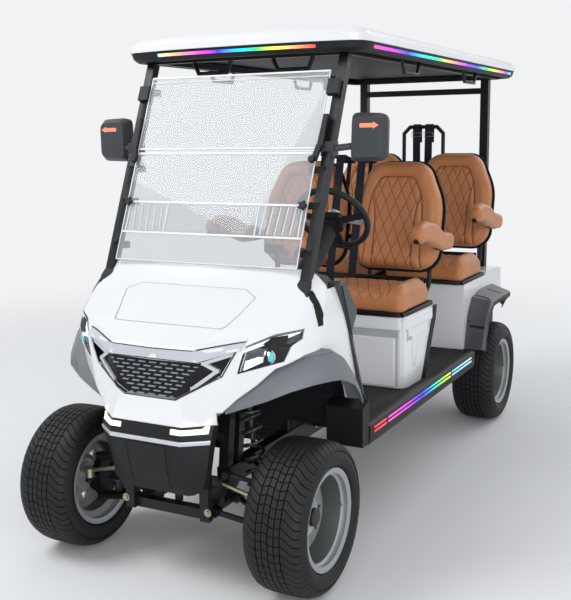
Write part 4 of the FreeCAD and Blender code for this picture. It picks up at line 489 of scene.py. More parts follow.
ROOF_STRIPS_ABOVE, FRONT_HALF = 1.0, 0.4
dress(strip_material("sill_strip", "Y", -0.86, 0.50, SILL_STRIP), "light_strips")
repaint("light_strips", strip_material("roof_front_strip", "X", -0.372, 0.372, FRONT_STRIP),
        lambda at, out: at.z > ROOF_STRIPS_ABOVE and abs(at.x) < FRONT_HALF)
repaint("light_strips", strip_material("roof_side_strip", "Y", -0.762, 1.348, SIDE_STRIP),
        lambda at, out: at.z > ROOF_STRIPS_ABOVE and abs(at.x) >= FRONT_HALF)

# Front cowl, hood panel, seat boxes, rear body and roof skin.
# White gel-coated moulding: hard gloss over a pearl white, soft at every edge; the front seat box has a
# raised lower panel and a lip, with the groove between them and a strip down each front corner painted grey
# as shade, and a black moulding down its rear edge.
white_body = finish("white_body", tint(0.925, 0.93, 0.94), tint(0.90, 0.905, 0.92), patch=3, grain=120, depth=0.03,
                    rough=0.16, spread=0.06, edge=0.006, Coat_Weight=0.5, Coat_Roughness=0.06)
# Grey for the seat box's groove band and front corner strips: painted shade on the white moulding.
groove_shade_grey = finish("groove_shade_grey", tint(0.66, 0.675, 0.68), tint(0.71, 0.72, 0.725), patch=9, rough=0.4)
# Near black for real black trims, and also as painted shade: the rear wings' outer faces, the wings' slots and step,
# and the lines under the hood's lip.
black_trim_and_shade = finish("black_trim_and_shade", tint(0.07, 0.07, 0.075), tint(0.1, 0.1, 0.1), rough=0.5,
                      Specular_IOR_Level=0.25)
dress(white_body, "front_cowl", "hood_panel", "front_seat_pod", "rear_body", "roof")


def snap(thing, place):
    """The nearest point of a surface and its outward direction; a CAD node is given by its name."""
    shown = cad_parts[thing] if isinstance(thing, str) else thing
    return shown.closest_point_on_mesh(Vector(place))[1:3]


def rows_between(low, high, steps=4, across=2):
    """Rows of points from one edge line to another; both lines have equally many corners."""
    rows = []
    for i in range(len(low) - 1):
        for k in range(steps + (i == len(low) - 2)):
            start = Vector(low[i]).lerp(Vector(low[i + 1]), k / steps)
            end = Vector(high[i]).lerp(Vector(high[i + 1]), k / steps)
            rows.append([start.lerp(end, n / (across - 1)) for n in range(across)])
    return rows


def laid_on(shape, thing, rows, proud=0.0012, deep=0.002):
    """A thin skin that lies on a CAD node or a mesh, from rows of points moved to its surface."""
    rings = []
    for row in rows:
        held = [snap(thing, place) for place in row]
        rings.append([near + out * proud for near, out in held]
                     + [near - out * deep for near, out in reversed(held)])
    shape.rings(rings)


def band_on(shape, node, plan, low, high, steps, across, proud):
    """A level band on a CAD node, between two heights along a plan line."""
    laid_on(shape, node, rows_between([(x, y, low) for x, y in plan], [(x, y, high) for x, y in plan], steps, across),
            proud)


POD_WRAP = ((-0.509, 0.12), (-0.504, -0.16), (-0.502, -0.196), (-0.488, -0.231), (-0.45, -0.246), (0.45, -0.246),
            (0.488, -0.231), (0.502, -0.196), (0.504, -0.16), (0.509, 0.12))
panels, grooves, mouldings = Shape(), Shape(), Shape()
band_on(panels, "front_seat_pod", POD_WRAP[4:6], 0.512, 0.745, 8, 3, 0.006)
band_on(panels, "front_seat_pod", POD_WRAP, 0.785, 0.842, 4, 2, 0.004)
# Grey skins in the groove band and, below, down each front corner: painted shade.
band_on(grooves, "front_seat_pod", POD_WRAP[2:8], 0.747, 0.783, 4, 2, 0.0008)
for side in (1, -1):
    side_panel = [[(side * x, y, z) for x, y, z in line] for line in
                  (((0.504, -0.15, 0.512), (0.505, -0.04, 0.512)), ((0.504, -0.15, 0.745), (0.509, 0.07, 0.745)))]
    laid_on(panels, "front_seat_pod", rows_between(*side_panel, 4, 3), proud=0.004)
    corner_line = [(side * x, y) for x, y in ((0.458, -0.246), (0.488, -0.231), (0.502, -0.196), (0.504, -0.156))]
    band_on(grooves, "front_seat_pod", corner_line, 0.514, 0.747, 3, 2, 0.0006)
panels.piece("seat_box_panels", white_body, "body_white", smooth=40, bevel=0.002)
grooves.piece("seat_box_groove_shade", groove_shade_grey, "body_white", smooth=40)
# Moulding down the box's rear edge: height, fore and aft edge
POD_MOULDING = ((0.846, 0.126, 0.180), (0.780, 0.108, 0.166), (0.530, -0.030, 0.028), (0.506, -0.040, 0.018))
mouldings.rings([[(0.500, fore, z), (0.516, fore + 0.006, z), (0.518, aft - 0.008, z), (0.500, aft, z)]
                 for z, fore, aft in POD_MOULDING])
# Slot trim from each screen post's foot down the cowl, and the black edge between cowl and dash end
SLOT_TRIM = (((0.462, -1.214, 1.125), (0.487, -1.198, 1.125)), ((0.500, -1.226, 1.088), (0.521, -1.203, 1.086)),
             ((0.528, -1.236, 1.035), (0.538, -1.206, 1.035)), ((0.542, -1.244, 0.992), (0.546, -1.212, 0.992)))
slot_trim = Shape()
OUT_OF_COWL = Vector((0.014, -0.014, 0.006))
slot_rows = rows_between([row[0] for row in SLOT_TRIM], [row[1] for row in SLOT_TRIM], 6, 4)
laid_on(slot_trim, "front_cowl", [[place + OUT_OF_COWL for place in row] for row in slot_rows], proud=0.0022)
slot_trim.pair("slot_trim", black_trim_and_shade, "black_moulding", smooth=30)
SEAM_EDGE = ((0.552, -1.086, 1.122), (0.553, -1.047, 1.035), (0.553, -0.996, 0.925), (0.553, -0.885, 0.685),
             (0.553, -0.866, 0.645))
laid_on(mouldings, "dash_ends", rows_between(SEAM_EDGE, [(x, y + 0.017, z + 0.002) for x, y, z in SEAM_EDGE]),
        proud=0.003)
# The screen posts' lean, as way back for each metre up, and their collars: height, half width
SCREEN_SLOPE = 0.42117
COLLAR = ((1.098, 0.030), (1.128, 0.029), (1.152, 0.0215))
mouldings.rings([[Vector((0.456 + a * wide, -1.192 + SCREEN_SLOPE * (z - 1.118) + b * wide, z))
                  for a, b in SQUARE] for z, wide in COLLAR])
mouldings.pair("body_mouldings", black_trim_and_shade, "black_moulding", smooth=30, bevel=0.001)
dash_trim = finish("dash_trim", tint(0.225, 0.24, 0.245), tint(0.26, 0.275, 0.28), rough=0.4, depth=0.3)
dress(dash_trim, "dash_ends")

# Front and rear wings.
# Satin grey moulding with a fine leather grain, screwed to the body's sides; each front wing ends in a skirt
# that flares out over the tyre. The rear pair is darker, with two slots across its top and a step across its
# front leg.
wing_plastic = finish("wing_grey", tint(0.42, 0.43, 0.45), tint(0.46, 0.47, 0.49), patch=4, grain=1400, depth=0.3,
                      rough=0.42, spread=0.08, edge=0.004)
rear_wing_plastic = finish("rear_wing_grey", tint(0.29, 0.30, 0.325), tint(0.33, 0.34, 0.365), patch=4, grain=1400,
                           depth=0.3, rough=0.44, spread=0.08, edge=0.004)
dress(wing_plastic, "front_wings")
dress(rear_wing_plastic, "rear_wings")


def onto(node, start, way):
    """Where a line from start meets the outside of a CAD node, or None."""
    hit, place, _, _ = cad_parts[node].ray_cast(Vector(start), Vector(way))
    return place if hit else None


# The front wing's flared skirt: points of its upper edge, then of the lip that stands out over the tyre, mm
SKIRT = (((284, -1490, 735), (281, -1500, 702)), ((350, -1448, 790), (352, -1480, 728)),
         ((415, -1404, 845), (430, -1452, 757)), ((505, -1322, 888), (506, -1413, 790)),
         ((550, -1281, 895), (566, -1340, 806)), ((592, -1240, 901), (603, -1277, 809)),
         ((605, -1190, 870), (620, -1225, 804)), ((611, -1160, 852), (623, -1170, 784)),
         ((613, -1095, 788), (619, -1095, 752)), ((609, -1020, 710), (611, -1020, 694)))
WING_IN, SKIRT_THICK, SKIRT_EDGE = Vector((-0.55, 0.75, 0.0)), 0.006, 0.009
skirt = Shape()
skirt_rings = []
for top, lip in SKIRT:
    top, lip = Vector(top) / 1000, Vector(lip) / 1000
    middle = top.lerp(lip, 0.5) - WING_IN * 0.006 + Vector((0, 0, 0.004))
    skirt_rings.append([top + Vector((0, 0, 0.001)), top.lerp(middle, 0.5) - WING_IN * 0.002, middle, lip,
                        lip - Vector((0, 0, SKIRT_EDGE)), lip + WING_IN * SKIRT_THICK - Vector((0, 0, 0.008)),
                        lip + WING_IN * SKIRT_THICK + Vector((0, 0, 0.004)),
                        top + WING_IN * 0.004 - Vector((0, 0, 0.02))])
skirt.rings(skirt_rings)
skirt.pair("front_wing_skirts", wing_plastic, "wing_grey", smooth=40)
# The rear wings' outer faces lie in their own shade; that shade is painted on them, nearly black
repaint("rear_wings", black_trim_and_shade, lambda at, out: abs(out.x) > 0.8 and abs(at.x) > 0.6)
# The two slots on each wing's top and the step across its front leg are black skins laid on the wing: painted shade.
slots = Shape()
# Slots by their front edge line: places along it, then the slot's width fore and aft
WING_SLOTS = ((((0.512, 0.866, 0.78), (0.560, 0.864, 0.78), (0.600, 0.850, 0.77)), 0.026),
              (((0.522, 1.058, 0.79), (0.560, 1.070, 0.78), (0.600, 1.076, 0.77)), 0.028))
ABOVE_WING = 1.2
for line, wide in WING_SLOTS:
    rows = rows_between(line, [(x, y + wide, z) for x, y, z in line], 5)
    laid_on(slots, "rear_wings", [[onto("rear_wings", (p.x, p.y, ABOVE_WING), (0, 0, -1)) for p in row]
                                  for row in rows], proud=0.0008)
laid_on(slots, "rear_wings", rows_between([(0.512, 0.705, 0.634), (0.618, 0.700, 0.634)],
                                          [(0.512, 0.707, 0.646), (0.618, 0.702, 0.646)], 5), proud=0.0008)
slots.pair("wing_slots", black_trim_and_shade, "black_moulding")
wing_screws = Shape()
for x, y, z in ((0.548, -1.205, 0.905), (0.560, -1.085, 0.80), (0.512, 0.735, 0.66), (0.512, 1.33, 0.765)):
    near, out = snap("front_wings" if y < 0 else "rear_wings", (x, y, z))
    wing_screws.rod(near, near + out * 0.003, 0.0065, 14, 0.005)
wing_screws.pair("wing_screws", coated_steel, "frame_black")

# Grille: black panel with staggered bright dashes, a silver outline and a Z strip at each end.
# Moulded in one panel; dashes, outline and strips are foiled in satin silver. Above it a brow bar, painted pale
# grey as the shade of a recess, runs between the lamps, under a black line painted as the shadow of the hood's lip.
gloss_black = finish("gloss_black", tint(0.07, 0.075, 0.085), tint(0.05, 0.055, 0.06), rough=0.22, depth=0.1,
                     Specular_IOR_Level=0.35)
satin_silver = finish("satin_silver", tint(0.84, 0.85, 0.87), tint(0.77, 0.78, 0.80), patch=20, rough=0.3,
                      spread=0.1, depth=0.05, edge=0.001, Metallic=0.35)
dash_foil = finish("dash_foil", tint(0.63, 0.65, 0.68), tint(0.54, 0.56, 0.59), patch=30, rough=0.35, Metallic=0.3)
# Pale grey for the brow bar: painted shade of a recess, laid on the white cowl.
brow_shade_grey = finish("brow_shade_grey", tint(0.79, 0.80, 0.83), tint(0.75, 0.76, 0.79), patch=6, rough=0.3, edge=0.003)
dress(gloss_black, "grille")
dress(satin_silver, "grille_trim", "bumper_trim")


def from_front(node, low, high, steps=4, across=2):
    """Rows between two edge lines given by x and height, moved straight back onto a node."""
    low, high = [[(x / 1000, -1.75, z / 1000) for x, z in line] for line in (low, high)]
    return [[onto(node, place, (0, 1, 0)) or snap(node, (place.x, -1.5, place.z))[0] for place in row]
            for row in rows_between(low, high, steps, across)]


def faced_on(shape, node, low, high, steps=4, across=2, proud=0.0012, deep=0.002):
    """A thin skin on the front of a CAD node, between two lines as seen from the front."""
    laid_on(shape, node, from_front(node, low, high, steps, across), proud, deep)


# Nose rows at three heights: z, then x and y of the flat front's edge and of the flank, mm
NOSE_ROWS = ((742.0, 145.0, -1574.0, 290.0, -1512.0), (893.0, 190.0, -1554.0, 338.0, -1492.0),
             (934.0, 180.0, -1550.0, 352.0, -1483.0))


def nose_y(x, z):
    """How far forward the nose panel stands at a place seen from the front, mm."""
    heights, *columns = zip(*NOSE_ROWS)
    edge_x, edge_y, flank_x, flank_y = (np.interp(z, heights, column) for column in columns)
    return float(np.interp(abs(x), (0.0, edge_x, flank_x), (edge_y, edge_y, flank_y)))


dashes = Shape()
DASH_LONG, DASH_SHORTEST, DASH_PITCH, DASH_TALL, DASH_BACK, DASH_DEEP = 31.0, 12.0, 49.0, 4.2, 8.5, 0.008
DASH_ROWS, ROW_LOW, ROW_PITCH = 9, 754.0, 14.6
for row in range(DASH_ROWS):
    height = ROW_LOW + ROW_PITCH * row
    reach = 88.0 + (height - 744.0) * 0.84
    for k in range(-6, 7):
        middle = DASH_PITCH * (k + (0.5 if row % 2 else 0.0))
        left, right = [max(-reach, min(reach, middle + way * DASH_LONG / 2)) for way in (-1, 1)]
        if right - left < DASH_SHORTEST:
            continue
        low, high = height - DASH_TALL / 2, height + DASH_TALL / 2
        face = [Vector((x, nose_y(x, height) + DASH_BACK, z)) / 1000
                for x, z in ((left, low), (right, low), (right, high), (left, high))]
        dashes.rings([[p + Vector((0, DASH_DEEP, 0)) for p in face], face])
dashes.piece("grille_dashes", dash_foil, "bright_trim", smooth=0, bevel=0.0006)

outline = Shape()
GRILLE_EDGE = ((0, 748), (112, 748), (279, 841), (323, 926), (195, 887), (0, 883))
inner_edge = [(x - 3.0 * (x > 0), z + (3.0 if z < 800 else -3.5 if z > 870 else 1.0)) for x, z in GRILLE_EDGE]
faced_on(outline, "grille", GRILLE_EDGE, inner_edge, 8, proud=0.0016)
outline.pair("grille_outline", satin_silver, "bright_trim", smooth=30)

brow, lip_shadow_line, hood_lip = Shape(), Shape(), Shape()
BROW_LOW = ((0, 890), (197, 894), (344, 934))
BROW_HIGH = ((0, 925), (177, 929), (351, 960))
LIP_HIGH = [(x, z + 3.6) for x, z in BROW_HIGH]
LAMP_TOP = ((355, 945), (430, 979), (511, 993))
# The brow bar, painted grey as shade.
faced_on(brow, "front_cowl", BROW_LOW, BROW_HIGH, 8, 3)
# Black lines under the hood's lip and along each lamp's top: painted shadow.
faced_on(lip_shadow_line, "front_cowl", BROW_HIGH, LIP_HIGH, 8, proud=0.0014)
faced_on(lip_shadow_line, "front_cowl", LAMP_TOP, [(x, z + 3.0) for x, z in LAMP_TOP], 8, proud=0.001)
faced_on(hood_lip, "front_cowl", LIP_HIGH, [(x, z + 9.0) for x, z in LIP_HIGH], 8, proud=0.004)
brow.pair("brow_bar", brow_shade_grey, "wing_grey", smooth=30)
lip_shadow_line.pair("hood_lip_line", black_trim_and_shade, "black_moulding", smooth=30)
hood_lip.pair("hood_lip", white_body, "body_white", smooth=30, bevel=0.0012)

# Headlamps: a dark bowl, a projector and a light guide under a clear cover.
# Chromed reflector and bezel, a cyan-tinted projector lens whose faint glow is painted light, a glowing white
# plate in the lens as a painted glint, and a white guide along the cover's upper edge.
chrome = finish("chrome", tint(0.88, 0.89, 0.9), tint(0.74, 0.75, 0.78), patch=45, rough=0.16, spread=0.1,
                depth=0.02, edge=0.001, Metallic=0.9)
# The lens's faint cyan emission is painted light.
lens_cyan = finish("projector_lens", tint(0.42, 0.82, 0.82), tint(0.25, 0.66, 0.70), patch=60, rough=0.08,
                   spread=0.02, depth=0.01, Emission_Color=tint(0.3, 0.8, 0.8), Emission_Strength=0.25)
marker_brown = finish("marker_lens", tint(0.30, 0.23, 0.22), tint(0.38, 0.27, 0.25), patch=60, rough=0.2)


def glowing(name, first, second, scale, strength):
    """A lit diffuser, faintly uneven between two colours."""
    material, tree, coat = shader(name, Emission_Strength=strength, Roughness=0.25)
    made = wired(tree, {"noise": ("TexNoise", {}, {"Scale": scale}), "ramp": "ValToRGB"}, (
        "noise.Fac > ramp.Fac", "ramp.Color > coat.Base Color", "ramp.Color > coat.Emission Color"), coat=coat)
    for element, colour in zip(made["ramp"].color_ramp.elements, (first, second)):
        element.color = colour
    return material


white_guide = glowing("light_guide", tint(0.80, 0.85, 0.87), tint(0.93, 0.96, 0.97), 90.0, 0.3)
# White glow for the reversing lamps, and for the painted glint in each projector lens.
lamp_white_and_glint = glowing("lamp_white_and_glint", tint(0.95, 0.99, 1.0), tint(1.0, 1.0, 1.0), 90.0, 0.8)
warm_bar = glowing("running_light", tint(1.0, 0.96, 0.80), tint(1.0, 0.99, 0.93), 70.0, 0.9)
dress(gloss_black, "headlamp_bowls")


def glass(name, colour, alpha, rough=0.03, gloss=0.5):
    """Thin clear plastic or glass, slightly uneven."""
    pale = tuple(c * 0.94 for c in colour[:3]) + (1.0,)
    return finish(name, colour, pale, patch=2, grain=60, depth=0.01, rough=rough, spread=rough, edge=0.001,
                  Alpha=alpha, Specular_IOR_Level=gloss)


lamp_cover = glass("lamp_cover", tint(0.92, 0.95, 0.97), 0.07, gloss=0.3)
dress(lamp_cover, "front_lenses")
repaint("front_lenses", warm_bar, lambda at, out: at.z < 0.75)


def behind_cover(shape, low, high, back, steps=5, across=3, tilt=0.0, thick=0.003):
    """A plate inside the lamp, following its cover at a distance behind it."""
    rings = []
    for row in from_front("front_lenses", low, high, steps, across):
        front = [place + Vector((0, back + tilt * k / (across - 1), 0)) for k, place in enumerate(row)]
        rings.append(front + [place + Vector((0, thick, 0)) for place in reversed(front)])
    shape.rings(rings)


guide, bright, marker, lens_glass, diode, seal = [Shape() for _ in range(6)]
faced_on(guide, "front_lenses", ((350, 926), (414, 950), (474, 969), (499, 981)),
         ((355, 941), (430, 973), (480, 983), (505, 988)), 14, 4, proud=0.0014)
# Plates of the reflector: lower edge, upper edge, way behind the cover, steps along and across, tilt
for plate in ((((346, 858), (400, 873), (453, 888)), ((351, 893), (388, 906), (447, 897)), 0.006, 5, 3, 0.006),
              (((342, 851), (400, 868), (459, 886)), ((343, 855), (400, 872), (459, 890)), 0.0045),
              (((333, 854), (345, 895), (355, 930)), ((338, 853), (350, 894), (360, 928)), 0.0045),
              (((485, 966), (489, 955)), ((491, 970), (494, 958)), 0.0045, 2, 2)):
    behind_cover(bright, *plate)
behind_cover(marker, ((493, 961), (506, 965)), ((494, 975), (507, 981)), 0.006, 2, 2)
for low_z in (927.0, 937.0, 947.0):
    behind_cover(marker, ((432, low_z), (484, low_z + 9)), ((432, low_z + 3), (484, low_z + 12)), 0.012, 3, 2)
LENS_X, LENS_Z, LENS_BEHIND, LENS_RING = 0.416, 0.905, 0.0145, 0.0262
LENS_AT = Vector((LENS_X, onto("front_lenses", (LENS_X, -1.75, LENS_Z), (0, 1, 0)).y + LENS_BEHIND, LENS_Z))
lens_glass.rings([[LENS_AT + Vector((radius * a, -rise, radius * b)) for a, b in circle(1.0, 28)] for rise, radius in
                  ((0.0, 0.0235), (0.005, 0.0225), (0.009, 0.0185), (0.0115, 0.012), (0.0125, 0.004))])
bright.sweep([LENS_AT + Vector((a, -0.002, b)) for a, b in circle(LENS_RING, 28)], circle(0.003, 8), up=(0, 1, 0),
             closed=True)
# A glowing white plate in the upper half of each lens: a painted glint.
diode.plate(lambda x, z, y: LENS_AT + Vector((x, y, z)),
            ((-0.011, 0.006), (0.009, 0.004), (0.010, 0.020), (-0.010, 0.021)), -0.004, -0.0145)
LAMP_EDGE = ((330, 848), (356, 944), (430, 978), (510, 992), (510, 962), (486, 940), (464, 884), (330, 848))
inner_seal = [(x + (435 - x) * 0.035 + (1.5 if x < 360 else -1.0), z + (915 - z) * 0.05) for x, z in LAMP_EDGE]
faced_on(seal, "front_lenses", LAMP_EDGE, inner_seal, 5, proud=0.0007, deep=0.0003)
guide.pair("lamp_guides", white_guide, "lamp_clear", smooth=30)
bright.pair("lamp_reflectors", chrome, "bright_trim", smooth=30)
marker.pair("lamp_markers", marker_brown, "lamp_dark", smooth=30)
lens_glass.pair("projector_lenses", lens_cyan, "lamp_clear", smooth=60)
diode.pair("lamp_diodes", lamp_white_and_glint, "lamp_clear", smooth=0, bevel=0.002)
seal.pair("lamp_seals", black_trim_and_shade, "black_moulding", smooth=30)

# Nose bumper: a black cover with two upright grooves, hung under the nose.
# Black moulding; the grooves are cut lines of the mould, and each running light turns up at its outer end.
dress(black_plastic, "nose_bumper")
cuts, light_ends, ribs = Shape(), Shape(), Shape()
faced_on(cuts, "nose_bumper", ((86, 400), (89, 500), (92, 584)), ((92, 400), (95, 500), (98, 584)), proud=0.0009)
faced_on(ribs, "nose_bumper", ((-78, 404), (-80, 500), (-84, 578)), ((78, 404), (80, 500), (84, 578)), 4, 5, 0.003)
faced_on(light_ends, "nose_bumper", ((214, 645), (236, 645)), ((222, 653), (236, 653)), 3, proud=0.004)
faced_on(light_ends, "front_cowl", ((221, 659), (237, 659)), ((229, 676), (239, 676)), 3, proud=0.003)
cuts.pair("bumper_grooves", black_trim_and_shade, "black_moulding", smooth=30)
ribs.piece("bumper_panel", black_plastic, "black_moulding", smooth=30, bevel=0.001)
light_ends.pair("running_light_ends", warm_bar, "lamp_clear", smooth=30)

# Steering wheel: soft rim on an aluminium spider with a padded hub.
# Rubbery black skin, satin spoke inserts and switch pads, and a bare hub.
wheel_skin = finish("wheel_skin", tint(0.10, 0.10, 0.105), tint(0.14, 0.14, 0.145), patch=10, grain=1500, depth=0.5,
                    rough=0.48, spread=0.15, edge=0.002, Specular_IOR_Level=0.3)
dress(wheel_skin, "steering_wheel")
WHEEL_CENTRE, WHEEL_AXIS = Vector((0.325, -0.655, 1.340)), Vector((0, 0.7986, 0.6018))
wheel_up = WHEEL_AXIS.cross(Vector((1, 0, 0))) * -1.0


def on_wheel(across, rise, out):
    """A point on the driver's face of the wheel."""
    return WHEEL_CENTRE + Vector((across, 0, 0)) + wheel_up * rise + WHEEL_AXIS * out


inserts = Shape()
for side in (1, -1):
    for rise in (-0.012, -0.022):
        spoke = [(side * 0.050, rise), (side * 0.136, rise * 1.6), (side * 0.136, rise * 1.6 - 0.006),
                 (side * 0.050, rise - 0.005)]
        inserts.plate(on_wheel, spoke, 0.006, 0.0145)
inserts.plate(on_wheel, circle(0.030, 28), 0.010, 0.0275)
inserts.piece("steering_wheel_inserts", satin_silver, "bright_trim", smooth=40, bevel=0.0008, body="steering_wheel")

# Windscreen: two clear panes clamped to the posts.
# Polycarbonate with a faint grey tint, white moulded stiffening bars, two ribbed air grids, star knobs on
# the posts and a black clamp at each corner.
screen_clear = glass("screen_clear", tint(0.76, 0.78, 0.80), 0.34, gloss=0.35)
screen_frost = glass("screen_frost", tint(0.86, 0.87, 0.87), 0.20, rough=0.25, gloss=0.2)
screen_edge = finish("screen_edge", tint(0.93, 0.94, 0.94), tint(0.87, 0.88, 0.89), patch=12, rough=0.2, depth=0.05)
dress(screen_clear, "windscreen")
SCREEN_OUT, SCREEN_UP = Vector((0, -0.9216, 0.3882)), Vector((0, 0.3882, 0.9216))


def on_screen(x, z, out=0.0):
    """A point on the front of the screen, moved square off it; x and height in mm."""
    return Vector((x / 1000, -1.226 + SCREEN_SLOPE * (z / 1000 - 1.118) - out * 0.9216, z / 1000 + out * 0.3882))


def screen_bar(shape, start, end, wide, thick=0.0022):
    """A flat bar on the screen from one point to another."""
    aside = Vector((start[1] - end[1], end[0] - start[0])).normalized() * wide / 2
    flat = [(start[0] + aside.x, start[1] + aside.y), (end[0] + aside.x, end[1] + aside.y),
            (end[0] - aside.x, end[1] - aside.y), (start[0] - aside.x, start[1] - aside.y)]
    shape.plate(on_screen, flat, 0.0002, thick)


bars, frost, knobs, frost_band = Shape(), Shape(), Shape(), Shape()
# Bars across the screen: height and width; then its side edges
for z, wide in ((1941, 7), (1921, 3), (1643, 6), (1624, 8), (1427, 8), (1306, 8)):
    screen_bar(bars, (-422, z), (422, z), wide)
screen_bar(bars, (-421, 1196), (421, 1196), 4)
for x in (-422, 422):
    screen_bar(bars, (x, 1196), (x, 1942), 4)
# Plates clamped over each side edge: their corners, back and front. A hinge clamp beside the split, its lever,
# and the block that holds the upper pane
CLAMPS = ((((424, 1642), (450, 1642), (452, 1768), (430, 1768)), 0.002, 0.016),
          (((412, 1600), (432, 1590), (446, 1650), (424, 1652)), 0.004, 0.020),
          (((424, 1846), (474, 1846), (474, 1906), (424, 1906)), -0.012, 0.014))
GRID_LOW, GRID_HIGH, GRID_FOOT, GRID_PITCH = 1314, 1420, 236, 33
for side in (1, -1):
    for x in (214, 404):
        screen_bar(bars, (side * x, 1308), (side * x, 1425), 5)
    for k in range(5):
        foot = GRID_FOOT + GRID_PITCH * k
        screen_bar(bars, (side * foot, GRID_LOW), (side * (foot + 9), GRID_HIGH), 4)
        frost.plate(on_screen, [(side * (foot + x), z) for x, z in
                                ((4, GRID_LOW), (22, GRID_LOW), (30, GRID_HIGH), (13, GRID_HIGH))], 0.0002, 0.0035)
    at = on_screen(side * 408, 1424)
    knobs.rod(at, at + SCREEN_OUT * 0.010, 0.009, 16)
    star = []
    for a, b in circle(1.0, 30):
        size = 0.0165 + 0.0038 * math.cos(5 * math.atan2(b, a))
        star.append(Vector((a * size, 0, 0)) + SCREEN_UP * (b * size))
    knobs.rings([[at + SCREEN_OUT * rise + p * grow for p in star] for rise, grow in
                 ((0.008, 0.9), (0.011, 1.0), (0.018, 1.0), (0.021, 0.86))])
    pin = on_screen(side * 436, 1264)
    knobs.rod(pin, pin + SCREEN_OUT * 0.012, 0.0095, 18, 0.008)
    for corners, back, front in CLAMPS:
        knobs.plate(on_screen, [(side * x, z) for x, z in corners], back, front)
    knob = on_screen(side * 418, 1592, 0.018)
    knobs.rod(knob, knob + SCREEN_OUT * 0.016, 0.015, 18, 0.013)
frost_band.plate(on_screen, ((-420, 1310), (420, 1310), (420, 1423), (-420, 1423)), -0.0062, -0.0054)
bars.piece("screen_bars", screen_edge, "clear_screen", smooth=30)
frost.piece("screen_grids", screen_frost, "clear_screen", smooth=30)
knobs.piece("screen_clamps", black_plastic, "black_moulding", smooth=35, bevel=0.0015)
frost_band.piece("screen_band", screen_frost, "clear_screen", smooth=30)

# Holder on the dash behind the screen: a sprung clip for a telephone, with a red catch.
# Black moulding on a short stalk.
holder, catch = Shape(), Shape()
HOLDER = Vector((0.248, -1.02, 1.204))
holder.box(HOLDER + Vector((-0.045, -0.012, 0.022)), HOLDER + Vector((0.030, 0.012, 0.060)))
holder.box(HOLDER + Vector((-0.050, -0.020, 0.028)), HOLDER + Vector((-0.040, 0.016, 0.058)))
holder.rod(HOLDER + Vector((0.0, 0, -0.10)), HOLDER + Vector((0.0, 0, 0.03)), 0.009, 16)
catch.box(HOLDER + Vector((0.031, -0.014, 0.018)), HOLDER + Vector((0.052, 0.012, 0.044)))
holder.piece("phone_holder", black_plastic, "black_moulding", bevel=0.003)
catch_red = finish("catch_red", tint(0.72, 0.30, 0.28), tint(0.62, 0.22, 0.2), patch=30, rough=0.4)
catch.piece("phone_holder_catch", catch_red, "lamp_red", bevel=0.003)

# Mirrors: grained shells with a coral arrow on the front and flat glass behind.
# The arrow is a lit turn signal under a flush lens.
mirror_shell = finish("mirror_shell", tint(0.22, 0.23, 0.245), tint(0.26, 0.27, 0.285), patch=8, grain=1300,
                      depth=0.35, rough=0.42, edge=0.004, Specular_IOR_Level=0.35)
mirror_glass = finish("mirror_glass", tint(0.80, 0.84, 0.88), tint(0.78, 0.82, 0.86), patch=2, grain=40, depth=0.0,
                      rough=0.03, spread=0.01, edge=0.001, Metallic=1.0)
arrow_lens = glowing("turn_arrow", tint(0.98, 0.52, 0.40), tint(1.0, 0.60, 0.46), 60.0, 0.25)
dress(mirror_shell, "mirrors")


def facing(x, z, y):
    """A point of an outline seen from the front, at a way back."""
    return Vector((x, y, z))


arrows, glasses = Shape(), Shape()
ARROW = ((0.577, 1.719), (0.632, 1.719), (0.632, 1.714), (0.656, 1.727), (0.632, 1.740), (0.632, 1.735),
         (0.577, 1.735))
arrows.plate(facing, ARROW, -0.954, -0.9562)
GLASS_EDGE = ((0.540, 1.606), (0.556, 1.600), (0.652, 1.604), (0.664, 1.616), (0.667, 1.748), (0.652, 1.760),
              (0.556, 1.765), (0.542, 1.752))
glasses.plate(facing, GLASS_EDGE, -0.8955, -0.8935)
arrows.pair("mirror_arrows", arrow_lens, "lamp_clear", smooth=0)
glasses.pair("mirror_glass", mirror_glass, "bright_trim", smooth=30)

# Roof fascia and ceiling, under the white roof skin.
# Black moulding with a rolled lower edge that carries the light strips.
dress(black_plastic, "roof_fascia", "seat_shells")

# Seat backs: foam pads in tan leathercloth over a black shell, with a diamond-quilted middle.
# The cover is sewn from a centre panel, two leaf panels and a wide bolster; the foam fills it from inside,
# then the seams pull it down into folds, with a dark cord along each as painted shadow and the quilted lines
# darkened as painted shade. A black cord closes the pad to its shell.
TAN, TAN_DARK = tint(0.79, 0.525, 0.335), tint(0.71, 0.455, 0.285)
QUILT_WIDE, QUILT_TALL = 0.055, 0.125
LEAN = math.radians(13.0)
BACK_FEET = {"front": (0.150, 0.990), "rear": (1.070, 1.012)}
BACK_MIDDLE, BACK_CENTRE_UP = 0.263, 0.312
# Outline of the pad: across, up and corner radius, mm
BACK_CORNERS = ((20, 26, 112), (506, 26, 112), (506, 388, 300), (411, 598, 110), (115, 598, 110), (20, 388, 300))


